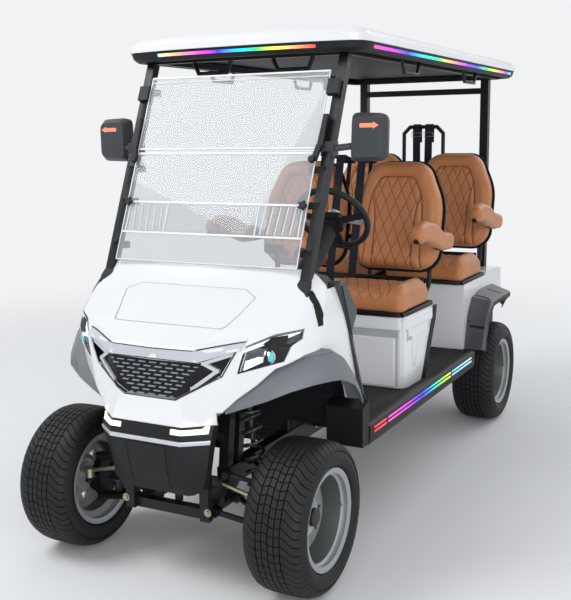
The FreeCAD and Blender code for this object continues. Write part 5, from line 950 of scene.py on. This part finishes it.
def quilt_group():
    """Where the diamond stitching runs on a pad, from its flat plan: a mask that is 1 on the lines."""
    tree, ends = group_of("quilt_lines", {"Vector": ("Plan",), "Float": ("Wide", "Tall", "Line")},
                          {"Float": ("Mask", "Height")})
    nodes = {"split": "SeparateXYZ", "nearest": ("Math", {"operation": "MINIMUM"}, {}),
             "height": ("Math", {"operation": "SUBTRACT"}, {0: 1.0}),
             "span": ("MapRange", {"interpolation_type": "SMOOTHSTEP"}, {"To Min": 1.0, "To Max": 0.0})}
    links = ["given.Plan > split.0", "split.X > across.0", "given.Wide > across.1", "split.Y > up.0",
             "given.Tall > up.1"]
    for name in ("across", "up"):
        nodes[name] = ("Math", {"operation": "DIVIDE"}, {})
    # The two slants of the diamonds: each is folded about its nearest whole number, and the nearer one counts
    for entry, operation in enumerate(("ADD", "SUBTRACT")):
        slant, whole, off, size = [step + operation for step in ("slant", "whole", "off", "size")]
        for name, kind in ((slant, operation), (whole, "ROUND"), (off, "SUBTRACT"), (size, "ABSOLUTE")):
            nodes[name] = ("Math", {"operation": kind}, {})
        links += ["across.0 > %s.0" % slant, "up.0 > %s.1" % slant, "%s.0 > %s.0" % (slant, whole),
                  "%s.0 > %s.0" % (slant, off), "%s.0 > %s.1" % (whole, off), "%s.0 > %s.0" % (off, size),
                  "%s.0 > nearest.%d" % (size, entry)]
    wired(tree, nodes, links + ["nearest.0 > span.Value", "given.Line > span.From Max", "span.Result > made.Mask",
                                "span.Result > height.1", "height.0 > made.Height"], **ends)
    return tree


quilting = quilt_group()


def leathercloth(name, quilted):
    """Tan leathercloth: patchy colour, creased grain, and on the quilted kind its sewn lines, darkened as painted
    shade.
    """
    material = finish(name, TAN, TAN_DARK, patch=7, grain=620, depth=0.35, rough=0.43, spread=0.16, edge=0.001,
                      Specular_IOR_Level=0.38, Sheen_Weight=0.06)
    tree = material.node_tree
    nodes = wired(tree, {
        "place": "TexCoord", "crackle": ("TexVoronoi", {"feature": "DISTANCE_TO_EDGE"}, {"Scale": 420.0}),
        "crease": ("Bump", {}, {"Strength": 0.22, "Distance": 0.0006})},
        ("place.Object > crackle.Vector", "crackle.Distance > crease.Height", "skin.Normal > crease.Normal",
         "crease.Normal > coat.Normal"), skin=tree.nodes["skin"], coat=tree.nodes["Principled BSDF"])
    if quilted:
        # The sewn lines are darkened in colour: painted shade in their valleys.
        wired(tree, {
            "plan": ("UVMap", {"uv_map": "pad_plan"}, {}),
            "lines": ("Group", {"node_tree": quilting}, {"Wide": QUILT_WIDE, "Tall": QUILT_TALL, "Line": 0.055}),
            "darker": ("Mix", {"data_type": "RGBA", "blend_type": "MULTIPLY"}, {7: tint(0.70, 0.62, 0.58)}),
            "sewn": ("Bump", {}, {"Strength": 0.9, "Distance": 0.0025})},
            ("plan.UV > lines.Plan", "lines.Mask > darker.Factor", "skin.Colour > darker.6",
             "lines.Height > sewn.Height", "crease.Normal > sewn.Normal", "darker.2 > coat.Base Color",
             "sewn.Normal > coat.Normal"), **nodes)
    return material


leather, quilted_leather = leathercloth("leathercloth", False), leathercloth("quilted_leathercloth", True)
seam_thread = finish("seam_thread", tint(0.50, 0.31, 0.20), tint(0.57, 0.37, 0.25), patch=60, rough=0.7)
# Dark brown cords sunk along the seams: painted shadow in each seam's fold.
seam_shadow = finish("seam_shadow", tint(0.27, 0.155, 0.10), tint(0.33, 0.20, 0.13), patch=60, rough=0.7)


def rounded(corners, steps=8):
    """An outline round the given corners, each with its radius, in metres."""
    line = []
    for i, (a, b, radius) in enumerate(corners):
        here, radius = Vector((a, b)) / 1000, radius / 1000
        before = (Vector(corners[i - 1][:2]) / 1000 - here).normalized()
        after = (Vector(corners[(i + 1) % len(corners)][:2]) / 1000 - here).normalized()
        half = before.angle(after) / 2
        centre = here + (before + after).normalized() * radius / math.sin(half)
        start, end = [here + way * radius / math.tan(half) - centre for way in (before, after)]
        first, last = math.atan2(start.y, start.x), math.atan2(end.y, end.x)
        sweep = (last - first + math.pi) % (2 * math.pi) - math.pi
        for k in range(steps + 1):
            turn = first + sweep * k / steps
            line.append(centre + Vector((math.cos(turn), math.sin(turn))) * radius)
    return line


def moved_in(line, depth):
    """The same outline moved in along its own direction."""
    out = []
    for i, here in enumerate(line):
        along = (line[(i + 1) % len(line)] - line[i - 1]).normalized()
        out.append(here + Vector((-along.y, along.x)) * depth)
    return out


def settled(thing):
    """A new mesh with a thing's modifiers worked in."""
    bpy.context.view_layer.update()
    return bpy.data.meshes.new_from_object(thing.evaluated_get(bpy.context.evaluated_depsgraph_get()))


def places_of(mesh):
    """A mesh's points as rows of an array."""
    flat = np.empty(len(mesh.vertices) * 3)
    mesh.vertices.foreach_get("co", flat)
    return flat.reshape(-1, 3)


def filled(shape, weave, swell, pressure=4.0, moments=20):
    """A slack cover, woven evenly and filled from inside, which moves it by swell at most; its points and faces."""
    cover = part("slack_cover", shape.points, shape.faces, None, leather, smooth=0)
    even, soft = cover.modifiers.new("even", "REMESH"), cover.modifiers.new("soft", "SMOOTH")
    even.mode, even.voxel_size = "VOXEL", weave
    soft.factor, soft.iterations = 0.5, 3
    pad = bpy.data.objects.new("pad", settled(cover))
    bpy.data.objects.remove(cover)
    bpy.context.scene.collection.objects.link(pad)
    start = places_of(pad.data)
    cloth = pad.modifiers.new("filling", "CLOTH")
    cloth.settings.use_pressure = True
    cloth.settings.uniform_pressure_force = pressure
    cloth.settings.effector_weights.gravity = 0.0
    for moment in range(moments):
        bpy.context.scene.frame_set(moment + 1)
    move = places_of(settled(pad)) - start
    length = np.linalg.norm(move, axis=1, keepdims=True)
    start += move * np.minimum(1.0, swell / np.maximum(length, 1e-9))
    bpy.context.scene.frame_set(1)
    pad.modifiers.clear()
    pad.data.vertices.foreach_set("co", start.ravel())
    finer = pad.modifiers.new("finer", "SUBSURF")
    finer.levels = 1
    mesh = settled(pad)
    bpy.data.objects.remove(pad)
    return places_of(mesh), [tuple(face.vertices) for face in mesh.polygons]


def away_from(line, places):
    """How far each place, in two numbers, lies from a line of corners."""
    nearest = np.full(len(places), 9.0)
    for start, end in zip(line, line[1:]):
        start, run = np.array(start), np.array(end) - np.array(start)
        share = np.clip(((places - start) @ run) / (run @ run), 0.0, 1.0)
        nearest = np.minimum(nearest, np.linalg.norm(places - start - share[:, None] * run, axis=1))
    return nearest


def within(line, places):
    """Whether each place lies inside a closed outline."""
    inside = np.zeros(len(places), bool)
    for (xa, ya), (xb, yb) in zip(line, line[1:] + line[:1]):
        if ya == yb:
            continue
        crossed = (places[:, 1] > min(ya, yb)) & (places[:, 1] <= max(ya, yb))
        inside ^= crossed & (places[:, 0] < xa + (places[:, 1] - ya) * (xb - xa) / (yb - ya))
    return inside


def quilt_lines_at(plan):
    """How far each place of a pad's plan lies from the nearest diamond line."""
    slants = [plan[:, 0] / QUILT_WIDE + way * plan[:, 1] / QUILT_TALL for way in (1, -1)]
    off = np.minimum(*[np.abs(slant - np.round(slant)) for slant in slants])
    return off / math.hypot(1 / QUILT_WIDE, 1 / QUILT_TALL)


def cushioned(edge):
    """How far a pad's face has rolled away from flat; edge runs from 0 inside to 1 at the rim."""
    return 1 - math.sqrt(max(0.0, 1 - edge ** 2))


# Seams from the pad's middle outwards, in metres: the centre panel's edge, then the leaf panel's inner edge
PANEL_SEAM = ((0.0, 0.506), (0.070, 0.505), (0.092, 0.494), (0.108, 0.470), (0.128, 0.425), (0.140, 0.375),
              (0.146, 0.306), (0.149, 0.20), (0.152, 0.10), (0.156, 0.040))
LEAF_SEAM = ((0.137, 0.404), (0.121, 0.372), (0.111, 0.320), (0.107, 0.24), (0.106, 0.14), (0.108, 0.044))
outline = rounded(BACK_CORNERS)
inner = moved_in(outline, 0.07)
# Cross-section of the slack cover: how far in from the outline, and depth behind the pad's front
PAD_FRONT = ((0.03, 0.019), (0.3, 0.019), (0.55, 0.018), (0.8, 0.017), (1.0, 0.013))
PAD_EDGE = ((0.056, 0.0095), (0.044, 0.007), (0.030, 0.008), (0.016, 0.015), (0.007, 0.026), (0.002, 0.044),
            (-0.001, 0.062), (-0.001, 0.082), (0.005, 0.0915), (0.05, 0.0925))
PAD_REAR = ((0.7, 0.0925), (0.35, 0.0925), (0.03, 0.0925))
middle = Vector((BACK_MIDDLE, BACK_CENTRE_UP))
back_rings = [[(middle + (p - middle) * share, depth) for p in inner] for share, depth in PAD_FRONT]
back_rings += [[(p, depth) for p in moved_in(outline, depth_in)] for depth_in, depth in PAD_EDGE]
back_rings += [[(middle + (p - middle) * share, depth) for p in inner] for share, depth in PAD_REAR]
back_form = Shape()
back_form.rings([[Vector((p.x, depth, p.y)) for p, depth in ring] for ring in back_rings])
back_points, back_faces = filled(back_form, weave=0.009, swell=0.009)
back_points[:, 1] = np.clip(back_points[:, 1], 0.0008, 0.0956)
plan = np.column_stack((back_points[:, 0] - BACK_MIDDLE, back_points[:, 2]))
half_plan = np.column_stack((np.abs(plan[:, 0]), plan[:, 1]))
front_side = np.clip((0.06 - back_points[:, 1]) / 0.03, 0.0, 1.0)
seam_off = np.minimum(away_from(PANEL_SEAM, half_plan), away_from(LEAF_SEAM, half_plan))
panel_edge = list(PANEL_SEAM) + [(0.0, 0.040)]
leaf_edge = list(LEAF_SEAM) + [(0.156, 0.040)] + list(PANEL_SEAM[:5:-1]) + [PANEL_SEAM[5]]
in_panel = within(panel_edge, half_plan)
in_leaf = within(leaf_edge, half_plan) & in_panel
quilted_here = in_panel & ~in_leaf & (front_side > 0.5)
# How deep the seam and the quilting draw the pad down, how wide that dip is, and how far the leaf swells
SEAM_DEEP, SEAM_WIDE, QUILT_DEEP, QUILT_DIP, LEAF_SWELL = 0.0100, 0.0075, 0.0034, 0.0060, 0.0030
pull = SEAM_DEEP * np.exp(-(seam_off / SEAM_WIDE) ** 2)
pull += QUILT_DEEP * np.exp(-(quilt_lines_at(plan) / QUILT_DIP) ** 2) * quilted_here
pull -= LEAF_SWELL * in_leaf
back_points[:, 1] = np.maximum(back_points[:, 1] + pull * front_side, 0.0006)


def pads(name, points, faces, plan, quilted_here, node, place):
    """Both pads of a row, one each side, as one piece that stands in for a CAD node."""
    all_points, all_faces, all_plans, marks = [], [], [], []
    for side in (1, -1):
        start = len(all_points)
        all_points += [place(side * p[0], p[1], p[2]) for p in points]
        all_faces += [tuple(start + i for i in (face if side > 0 else face[::-1])) for face in faces]
        all_plans.append(plan)
        marks += [all(quilted_here[i] for i in face) for face in faces]
    piece = part(name, all_points, all_faces, "chassis", leather, smooth=0)
    piece.data.shade_smooth()
    piece.data.materials.append(quilted_leather)
    piece.data.polygons.foreach_set("material_index", np.array(marks, np.int32))
    flat = piece.data.uv_layers.new(name="pad_plan")
    corners = np.empty(len(piece.data.loops), np.int32)
    piece.data.loops.foreach_get("vertex_index", corners)
    flat.data.foreach_set("uv", np.concatenate(all_plans)[corners].ravel())
    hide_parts(node)


def on_back(row):
    """Gives the place on a row's leaning back for a way across, a depth and a way up it."""
    foot_y, foot_z = BACK_FEET[row]
    return lambda x, depth, up: Vector((x, foot_y + math.sin(LEAN) * up + math.cos(LEAN) * depth,
                                        foot_z + math.cos(LEAN) * up - math.sin(LEAN) * depth))


THREAD_IN, THREAD_OUT, THREAD_RADIUS = 0.0015, 0.0018, 0.0007


def stitches(shape, line, long, height_at, place, side):
    """Short threads along a seam and its twin; height_at gives the pad's surface under a place of its plan."""
    for start, end in zip(line, line[1:]):
        run = Vector(end) - Vector(start)
        for k in range(int(run.length / long)):
            thread_ends = [Vector(start) + run.normalized() * (long * k + at) for at in (THREAD_IN, long - THREAD_OUT)]
            for way in (1, -1):
                low, high = [place(side * (BACK_MIDDLE + way * p.x), height_at(way * p.x, p.y), p.y)
                             for p in thread_ends]
                shape.rod(low, high, THREAD_RADIUS, 5)


front_only = back_points[:, 1] < 0.05
front_plan, front_depth = plan[front_only], back_points[front_only, 1]


def depth_at(x, up):
    """Depth of the pad's front at a place of its plan."""
    near = np.argpartition((front_plan[:, 0] - x) ** 2 + (front_plan[:, 1] - up) ** 2, 4)[:4]
    return float(front_depth[near].mean()) - 0.0004


def finer(line, step=0.008):
    """The same line with a corner at least at every step."""
    out = []
    for start, end in zip(line, line[1:]):
        start, end = Vector(start), Vector(end)
        count = max(1, round((end - start).length / step))
        out += [start.lerp(end, k / count) for k in range(count)]
    return out + [Vector(line[-1])]


beside = [(x + 0.0085, up + (0.0085 if up > 0.45 else 0.0)) for x, up in PANEL_SEAM[1:]]
for row in BACK_FEET:
    pads(row + "_seat_backs", back_points, back_faces, plan, quilted_here, row + "_backrests", on_back(row))
    cord, fold, thread = Shape(), Shape(), Shape()
    for side in (1, -1):
        cord.sweep([on_back(row)(side * p.x, 0.0945, p.y) for p in moved_in(outline, 0.0005)], circle(0.0034, 8),
                   up=(0, 1, 0), closed=True)
        # Dark cords along each seam: painted shadow.
        for way in (1, -1):
            for line in (PANEL_SEAM, LEAF_SEAM):
                fold.sweep([on_back(row)(side * (BACK_MIDDLE + way * p.x), depth_at(way * p.x, p.y) + 0.0008, p.y)
                            for p in finer(line)], circle(0.0017, 6), up=(0, 1, 0))
        stitches(thread, beside, 0.0075, depth_at, on_back(row), side)
    cord.piece(row + "_back_piping", black_trim_and_shade, "black_moulding", smooth=60)
    fold.piece(row + "_back_seam_shadows", seam_shadow, "seat_leather", smooth=60)
    thread.piece(row + "_back_stitches", seam_thread, "seat_leather", smooth=60)

# Seat cushions: foam on a black base, plain sides, faint diamonds on top and a raised outer roll.
# One cover, filled like the backs; the roll is drawn down along its seam.
CUSHION_FRONT, CUSHION_LOW, ROLL_SEAM, ROLL_MIDDLE = -0.258, 0.867, 0.403, 0.456
# Profile fore and aft: distance from the front edge, height; the top rows follow the crown and roll
CUSHION_PROFILE = ((0.014, 0.867, 0.0), (0.005, 0.876, 0.0), (0.001, 0.900, 0.0), (0.004, 0.928, 0.0),
                   (0.014, 0.950, 0.3), (0.036, 0.962, 0.7), (0.080, 0.968, 1.0), (0.150, 0.970, 1.0),
                   (0.220, 0.969, 1.0), (0.290, 0.967, 1.0), (0.345, 0.960, 1.0), (0.378, 0.946, 0.6),
                   (0.392, 0.925, 0.2), (0.394, 0.900, 0.0), (0.391, 0.877, 0.0), (0.382, 0.867, 0.0),
                   (0.26, 0.867, 0.0), (0.13, 0.867, 0.0))
cushion_form = Shape()
cushion_rings = []
ROLL_SINK, ROLL_RISE, RIM_SINK = 0.004, 0.022, 0.028
CUSHION_IN, CUSHION_OUT, CUSHION_LONG = 0.030, 0.5005, 0.394
for x in (CUSHION_IN, 0.032, 0.037, 0.045, 0.058, 0.09, 0.15, 0.21, 0.27, 0.33, 0.37, 0.39, 0.403, 0.416, 0.43, 0.445,
          0.458, 0.470, 0.480, 0.488, 0.494, 0.498, CUSHION_OUT):
    inner_roll = cushioned(max(0.0, 1.0 - (x - CUSHION_IN) / 0.028))
    outer_roll = cushioned(max(0.0, 1.0 - (CUSHION_OUT - x) / 0.040))
    fore, aft = 0.020 * inner_roll + 0.034 * outer_roll, 0.016 * inner_roll + 0.022 * outer_roll
    crown = ROLL_RISE * math.exp(-((x - ROLL_MIDDLE) / 0.036) ** 2)
    crown -= ROLL_SINK * math.exp(-((x - ROLL_SEAM) / 0.02) ** 2) + ROLL_RISE * inner_roll + RIM_SINK * outer_roll
    ring = []
    for away, height, lift in CUSHION_PROFILE:
        share = away / CUSHION_LONG
        ring.append(Vector((x, CUSHION_FRONT + away + fore * (1 - share) - aft * share, height + crown * lift)))
    cushion_rings.append(ring)
cushion_form.rings(cushion_rings)
cushion_points, cushion_faces = filled(cushion_form, weave=0.0095, swell=0.010)
across, fore, up = cushion_points.T
up[:] = np.maximum(up, CUSHION_LOW - 0.0005)
across[:] = np.clip(across, 0.0215, 0.5050)
fore[:] = np.clip(fore, -0.2665, 0.1425)
top_side = np.clip((up - 0.925) / 0.03, 0.0, 1.0)
CUSHION_MIDDLE, QUILTED_HALF, FRONT_TURN = 0.213, 0.176, 0.962
cushion_plan = np.column_stack((across - CUSHION_MIDDLE, fore - np.maximum(0.0, FRONT_TURN - up) * (fore < -0.2)))
cushion_quilted = (np.abs(across - CUSHION_MIDDLE) < QUILTED_HALF) & (up > 0.92) & (fore < 0.11)
drawn = 0.009 * np.exp(-((across - ROLL_SEAM) / 0.008) ** 2) * top_side
drawn += 0.0022 * np.exp(-(quilt_lines_at(cushion_plan) / 0.0058) ** 2) * cushion_quilted * top_side
up -= drawn
SEAT_ROWS = {"front": (0.0, 0.0), "rear": (0.920, 0.022)}
# The base trim's plan line and its section: how much wider, and height
BASE_RIM = ((0.026, -0.250), (0.452, -0.250), (0.484, -0.236), (0.497, -0.204), (0.498, 0.138))
BASE_SECTION = ((1.0, 0.846), (1.006, 0.848), (1.006, 0.866), (1.0, 0.869))
for row, (shift, lift) in SEAT_ROWS.items():
    pads(row + "_seat_pads", cushion_points, cushion_faces, cushion_plan, cushion_quilted, row + "_cushions",
         lambda x, y, z: Vector((x, y + shift, z + lift)))
    band, bolts = Shape(), Shape()
    for side in (1, -1):
        rings = [[Vector((side * x * grow, y + shift - (0.003 if i < 3 else 0.0) * (grow > 1), z + lift))
                  for grow, z in BASE_SECTION] for i, (x, y) in enumerate(BASE_RIM)]
        band.rings(rings if side > 0 else [ring[::-1] for ring in rings])
        hinge = Vector((side * 0.262, 0.149 + shift, 0.905 + lift))
        band.box(hinge + Vector((-0.19, 0.000, -0.030)), hinge + Vector((0.19, 0.010, 0.075)))
        bolts.stack(hinge, (0, -1, 0), ((0.003, 0.013, 20), (0.005, 0.0075, 6)))
    band.piece(row + "_seat_base_trim", coated_steel, "frame_black", smooth=30, bevel=0.0015)
    bolts.piece(row + "_seat_bolts", zinc, "zinc_steel", smooth=25)

# Armrests: thick stuffed sleeves that swing on a pin beside each back.
# Leathercloth over foam, with a black seam under the rear half and a black plug under the tip.
ARM_PIN = (0.174, 1.158)
# Outline from the side: place fore and aft and height, from the pin, with corner radii, mm
ARM_CORNERS = ((60, -42, 36), (88, 30, 36), (10, 58, 50), (-74, 69, 60), (-194, 121, 80), (-324, 142, 80),
               (-434, 118, 42), (-424, 33, 30), (-324, 33, 60), (-94, -33, 60))
# Section across the sleeve: way out from the cart's middle, and how far in from the outline
ARM_SECTION = ((0.5225, 0.019), (0.5245, 0.011), (0.530, 0.005), (0.540, 0.0015), (0.553, 0.0005), (0.566, 0.0015),
               (0.576, 0.005), (0.5815, 0.011), (0.5835, 0.019))
arm_line = rounded(ARM_CORNERS, 6)
area = sum(a.x * b.y - b.x * a.y for a, b in zip(arm_line, arm_line[1:] + arm_line[:1]))
arm_line = arm_line if area > 0 else arm_line[::-1]
arm_form = Shape()
arm_form.rings([[Vector((x, p.x, p.y)) for p in moved_in(arm_line, depth)] for x, depth in ARM_SECTION])
arm_points, arm_faces = filled(arm_form, weave=0.008, swell=0.005)
arm_points[:, 0] = np.clip(arm_points[:, 0], 0.5195, 0.5865)
plug_rubber = finish("arm_plug", tint(0.08, 0.08, 0.08), tint(0.12, 0.12, 0.12), rough=0.5)
# Rows of points of the black seam under the rear half, then of the oval plug under the tip, from the pin
SEAM_ROWS = [[(x, y / 1000, -0.050 + 0.29 * max(0.0, -0.094 - y / 1000)) for x in (0.537, 0.548, 0.558, 0.569)]
             for y in range(-164, -4, 10)]
PLUG_ROWS = []
for k in range(11):
    turn, wide = math.radians(188 + 8.6 * k), 0.019 * math.sqrt(max(0.02, 1 - ((k - 5) / 5.2) ** 2))
    PLUG_ROWS.append([(0.553 + wide * a, -0.400 + 0.045 * math.cos(turn), 0.062 + 0.045 * math.sin(turn))
                      for a in (-1, -0.35, 0.35, 1)])
for row, (shift, lift) in SEAT_ROWS.items():
    for name in ("left", "right"):
        node = "armrest_" + row + "_" + name
        side = 1 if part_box(node)[0][0] > 0 else -1
        pin = Vector((0, ARM_PIN[0] + shift, ARM_PIN[1] + lift))
        placed = [pin + Vector((side * p[0], p[1], p[2])) for p in arm_points]
        turned = [face if side > 0 else face[::-1] for face in arm_faces]
        sleeve = part(node + "_sleeve", placed, turned, node, leather, smooth=0)
        sleeve.data.shade_smooth()
        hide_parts(node)
        trim = Shape()
        for rows in (SEAM_ROWS, PLUG_ROWS):
            laid_on(trim, sleeve, [[pin + Vector((side * x, y, z)) for x, y, z in across] for across in rows],
                    proud=0.0016, deep=0.003)
        trim.piece(node + "_trim", plug_rubber, "black_moulding", smooth=40, body=node)

# Seat belts: navy webbing over each inner shoulder of the front backs.
# Polyester webbing with a fine rib; a moulded guide at the top and a tongue part way down.
belt_web, belt_tree, belt_coat = shader("belt_webbing", Specular_IOR_Level=0.25, Roughness=0.72)
belt_ramp = wired(belt_tree, {
    "place": "TexCoord", "wave": ("TexWave", {"bands_direction": "Z"}, {"Scale": 260.0, "Distortion": 0.4}),
    "ramp": "ValToRGB", "bump": ("Bump", {}, {"Strength": 0.4, "Distance": 0.0006})},
    ("place.Object > wave.Vector", "wave.Fac > ramp.Fac", "wave.Fac > bump.Height", "ramp.Color > coat.Base Color",
     "bump.Normal > coat.Normal"), coat=belt_coat)["ramp"].color_ramp.elements
belt_ramp[0].color, belt_ramp[1].color = tint(0.085, 0.10, 0.14), tint(0.13, 0.15, 0.20)
dress(belt_web, "seat_belts")
guides, tongues = Shape(), Shape()
at_front = on_back("front")
GUIDE_IN, GUIDE_OUT, GUIDE_LOW, GUIDE_TOP, GUIDE_FORE, GUIDE_AFT = 0.030, 0.094, 0.594, 0.614, -0.010, 0.128
for fore, aft in ((GUIDE_FORE, -0.002), (0.100, GUIDE_AFT)):
    ring = [(GUIDE_IN, fore), (GUIDE_OUT, fore), (GUIDE_OUT, aft), (GUIDE_IN, aft)]
    guides.plate(at_front, ring, GUIDE_LOW, GUIDE_TOP)
ring = [(GUIDE_IN, 0.606), (GUIDE_OUT, 0.606), (GUIDE_OUT, GUIDE_TOP), (GUIDE_IN, GUIDE_TOP)]
guides.plate(lambda x, up, depth: at_front(x, depth, up), ring, GUIDE_FORE, GUIDE_AFT)
tongues.plate(lambda x, up, depth: at_front(x, depth, up),
              ((0.036, 0.40), (0.088, 0.40), (0.084, 0.45), (0.040, 0.45)), -0.0065, -0.0035)
guides.pair("belt_guides", black_plastic, "black_moulding", smooth=30, bevel=0.0015)
tongues.pair("belt_tongues", coated_steel, "frame_black", smooth=30, bevel=0.001)

# Bag straps: two wide black straps with wire buckles on the hoop behind the rear seats.
# Webbing looped over the hoop's top bar and hanging ready for a bag.
straps, buckles = Shape(), Shape()
HOOP_Y, HOOP_TOP = 1.4095, 1.736
# A strap's fall from behind the hoop over its top bar and down: way aft of the bar's middle, height
STRAP_FALL = ((0.017, 1.640), (0.018, HOOP_TOP - 0.01), (0.012, HOOP_TOP + 0.0125), (0.0, HOOP_TOP + 0.0165),
              (-0.012, HOOP_TOP + 0.0125), (-0.018, HOOP_TOP - 0.01), (-0.019, 1.60), (-0.020, 1.40), (-0.017, 1.20),
              (-0.014, 1.02), (-0.016, 0.96))
STRAP_HALF, STRAP_HALF_THICK, BUCKLE_Z = 0.024, 0.0016, 1.690
fall = [Vector((HOOP_Y + aft, z)) for aft, z in STRAP_FALL]
for x in (-0.040, 0.040):
    rings = []
    for i, (y, z) in enumerate(fall):
        run = (fall[min(len(fall) - 1, i + 1)] - fall[max(0, i - 1)]).normalized()
        out = Vector((0, -run.y, run.x)) * STRAP_HALF_THICK
        lean_in = 0.006 * min(1.0, max(0.0, (HOOP_TOP - z) / 0.5)) * (-1 if x < 0 else 1)
        at = Vector((x - lean_in, y, z))
        rings.append([at + Vector((a * STRAP_HALF, 0, 0)) + out * b for a, b in SQUARE])
    straps.rings(rings)
    loop = [Vector((x + a * 0.030, HOOP_Y - 0.0215, BUCKLE_Z + b * 0.012)) for a, b in SQUARE]
    buckles.sweep(loop, circle(0.0022, 8), up=(0, 1, 0), closed=True)
straps.piece("bag_straps", belt_web, "belt_web", smooth=40)
buckles.piece("bag_strap_buckles", zinc, "zinc_steel", smooth=50)

# Tail lamps: red lenses on the slanted tail, with a clear reversing lamp in each and a black bezel round it.
# The lens has upright prisms moulded inside, seen as a fine ribbing.
red_lens = finish("red_lens", tint(0.62, 0.06, 0.06), tint(0.5, 0.03, 0.04), patch=70, rough=0.15, depth=0.05,
                  edge=0.002, Coat_Weight=0.6)
dress(red_lens, "tail_lamps")
lamp_faces, lamp_rims = Shape(), Shape()
clear = [[Vector((x, y, z)) for x in (0.438, 0.462, 0.486)] for y, z in ((1.52, 0.712), (1.51, 0.735))]
laid_on(lamp_faces, "tail_lamps", clear)
for z in (0.700, 0.747):
    bezel = [[Vector((x, 1.52, z + dz)) for dz in (-0.002, 0.002)] for x in (0.434, 0.462, 0.490)]
    laid_on(lamp_rims, "tail_lamps", bezel, proud=0.0015)
lamp_faces.pair("reversing_lamps", lamp_white_and_glint, "lamp_clear", smooth=0)
lamp_rims.pair("tail_lamp_bars", black_trim_and_shade, "black_moulding", smooth=0)

# Floor, light and camera for the picture.
# A pale seamless floor under a large soft lamp and two fills; the camera stands where the photographer stood.
# Far from the cart the floor turns into the backdrop's own colour for what the camera sees.
REACH, BACKDROP, FADE_FROM, FADE_TO = 40.0, tint(0.945, 0.95, 0.955), 2.2, 7.0
floor_mesh = bpy.data.meshes.new("studio_floor")
floor_mesh.from_pydata([(a * REACH, b * REACH, 0) for a, b in SQUARE], [], [(0, 1, 2, 3)])
floor_paint, floor_tree, floor_coat = shader("studio_floor", Roughness=0.85)
floor_ramp = wired(floor_tree, {
    "noise": ("TexNoise", {}, {"Scale": 2.0}), "ramp": "ValToRGB", "glow": ("Emission", {}, {"Color": BACKDROP}),
    "mix": "MixShader", "ray": "LightPath", "place": "TexCoord", "length": ("VectorMath", {"operation": "LENGTH"}, {}),
    "span": ("MapRange", {"interpolation_type": "SMOOTHSTEP"}, {"From Min": FADE_FROM, "From Max": FADE_TO}),
    "share": ("Math", {"operation": "MULTIPLY"}, {})},
    ("noise.Fac > ramp.Fac", "ramp.Color > coat.Base Color", "place.Object > length.0", "length.Value > span.Value",
     "span.Result > share.0", "ray.Is Camera Ray > share.1", "share.0 > mix.Fac", "coat.0 > mix.1", "glow.0 > mix.2",
     "mix.0 > out.Surface"),
    coat=floor_coat, out=floor_tree.nodes["Material Output"])["ramp"].color_ramp.elements
floor_ramp[0].color, floor_ramp[1].color = tint(0.93, 0.935, 0.94), tint(0.95, 0.955, 0.96)
floor_mesh.materials.append(floor_paint)
studio_floor = bpy.data.objects.new("studio_floor", floor_mesh)
bpy.context.scene.collection.objects.link(studio_floor)

world = bpy.data.worlds.new("studio_world")
bpy.context.scene.world = world
world.use_nodes = True
world.node_tree.nodes.clear()
wired(world.node_tree, {
    "seen": ("Background", {}, {"Color": BACKDROP}), "ray": "LightPath", "choose": "MixShader", "out": "OutputWorld",
    "lit": ("Background", {}, {"Color": (0.93, 0.96, 1.0, 1), "Strength": 0.56}),
    "either": ("Math", {"operation": "MAXIMUM"}, {}), "any": ("Math", {"operation": "MAXIMUM"}, {})},
    ("ray.Is Camera Ray > either.0", "ray.Is Glossy Ray > either.1", "either.0 > any.0",
     "ray.Is Transmission Ray > any.1", "any.0 > choose.Fac", "lit.0 > choose.1", "seen.0 > choose.2",
     "choose.0 > out.Surface"))

# Lamps: name, place, power in watts, width
LAMPS = (("key_lamp", (-3.2, -3.4, 5.6), 195.0, 3.0), ("fill_lamp", (4.6, -5.0, 1.9), 150.0, 4.0),
         ("rear_lamp", (2.5, 5.0, 4.5), 90.0, 4.0))
for name, place, power, wide in LAMPS:
    lamp = bpy.data.lights.new(name, "AREA")
    lamp.energy, lamp.size = power, wide
    hung = bpy.data.objects.new(name, lamp)
    hung.location = place
    hung.rotation_mode = "QUATERNION"
    hung.rotation_quaternion = (Vector((0, 0, 0.7)) - Vector(place)).to_track_quat("-Z", "Y")
    bpy.context.scene.collection.objects.link(hung)

CAMERA_PLACE = Vector((2.0311, -4.3519, 1.6897))
YAW, PITCH_DOWN, ROLL = 0.4833, 0.1707, -0.0127
FOCAL_PIXELS, FRAME_LONG_SIDE, SENSOR = 949.97, 600.0, 36.0
ahead = Vector((-math.sin(YAW) * math.cos(PITCH_DOWN), math.cos(YAW) * math.cos(PITCH_DOWN), -math.sin(PITCH_DOWN)))
level = ahead.cross(Vector((0, 0, 1))).normalized()
over = level.cross(ahead)
right = level * math.cos(ROLL) + over * math.sin(ROLL)
up = over * math.cos(ROLL) - level * math.sin(ROLL)
lens = bpy.data.cameras.new("photo_camera")
lens.sensor_width = SENSOR
lens.lens = FOCAL_PIXELS * SENSOR / FRAME_LONG_SIDE
lens.clip_end = 100
camera = bpy.data.objects.new("photo_camera", lens)
camera.matrix_world = Matrix((
    (right.x, up.x, -ahead.x, CAMERA_PLACE.x), (right.y, up.y, -ahead.y, CAMERA_PLACE.y),
    (right.z, up.z, -ahead.z, CAMERA_PLACE.z), (0, 0, 0, 1)))
bpy.context.scene.collection.objects.link(camera)
bpy.context.scene.camera = camera
bpy.context.scene.view_settings.view_transform = "Standard"
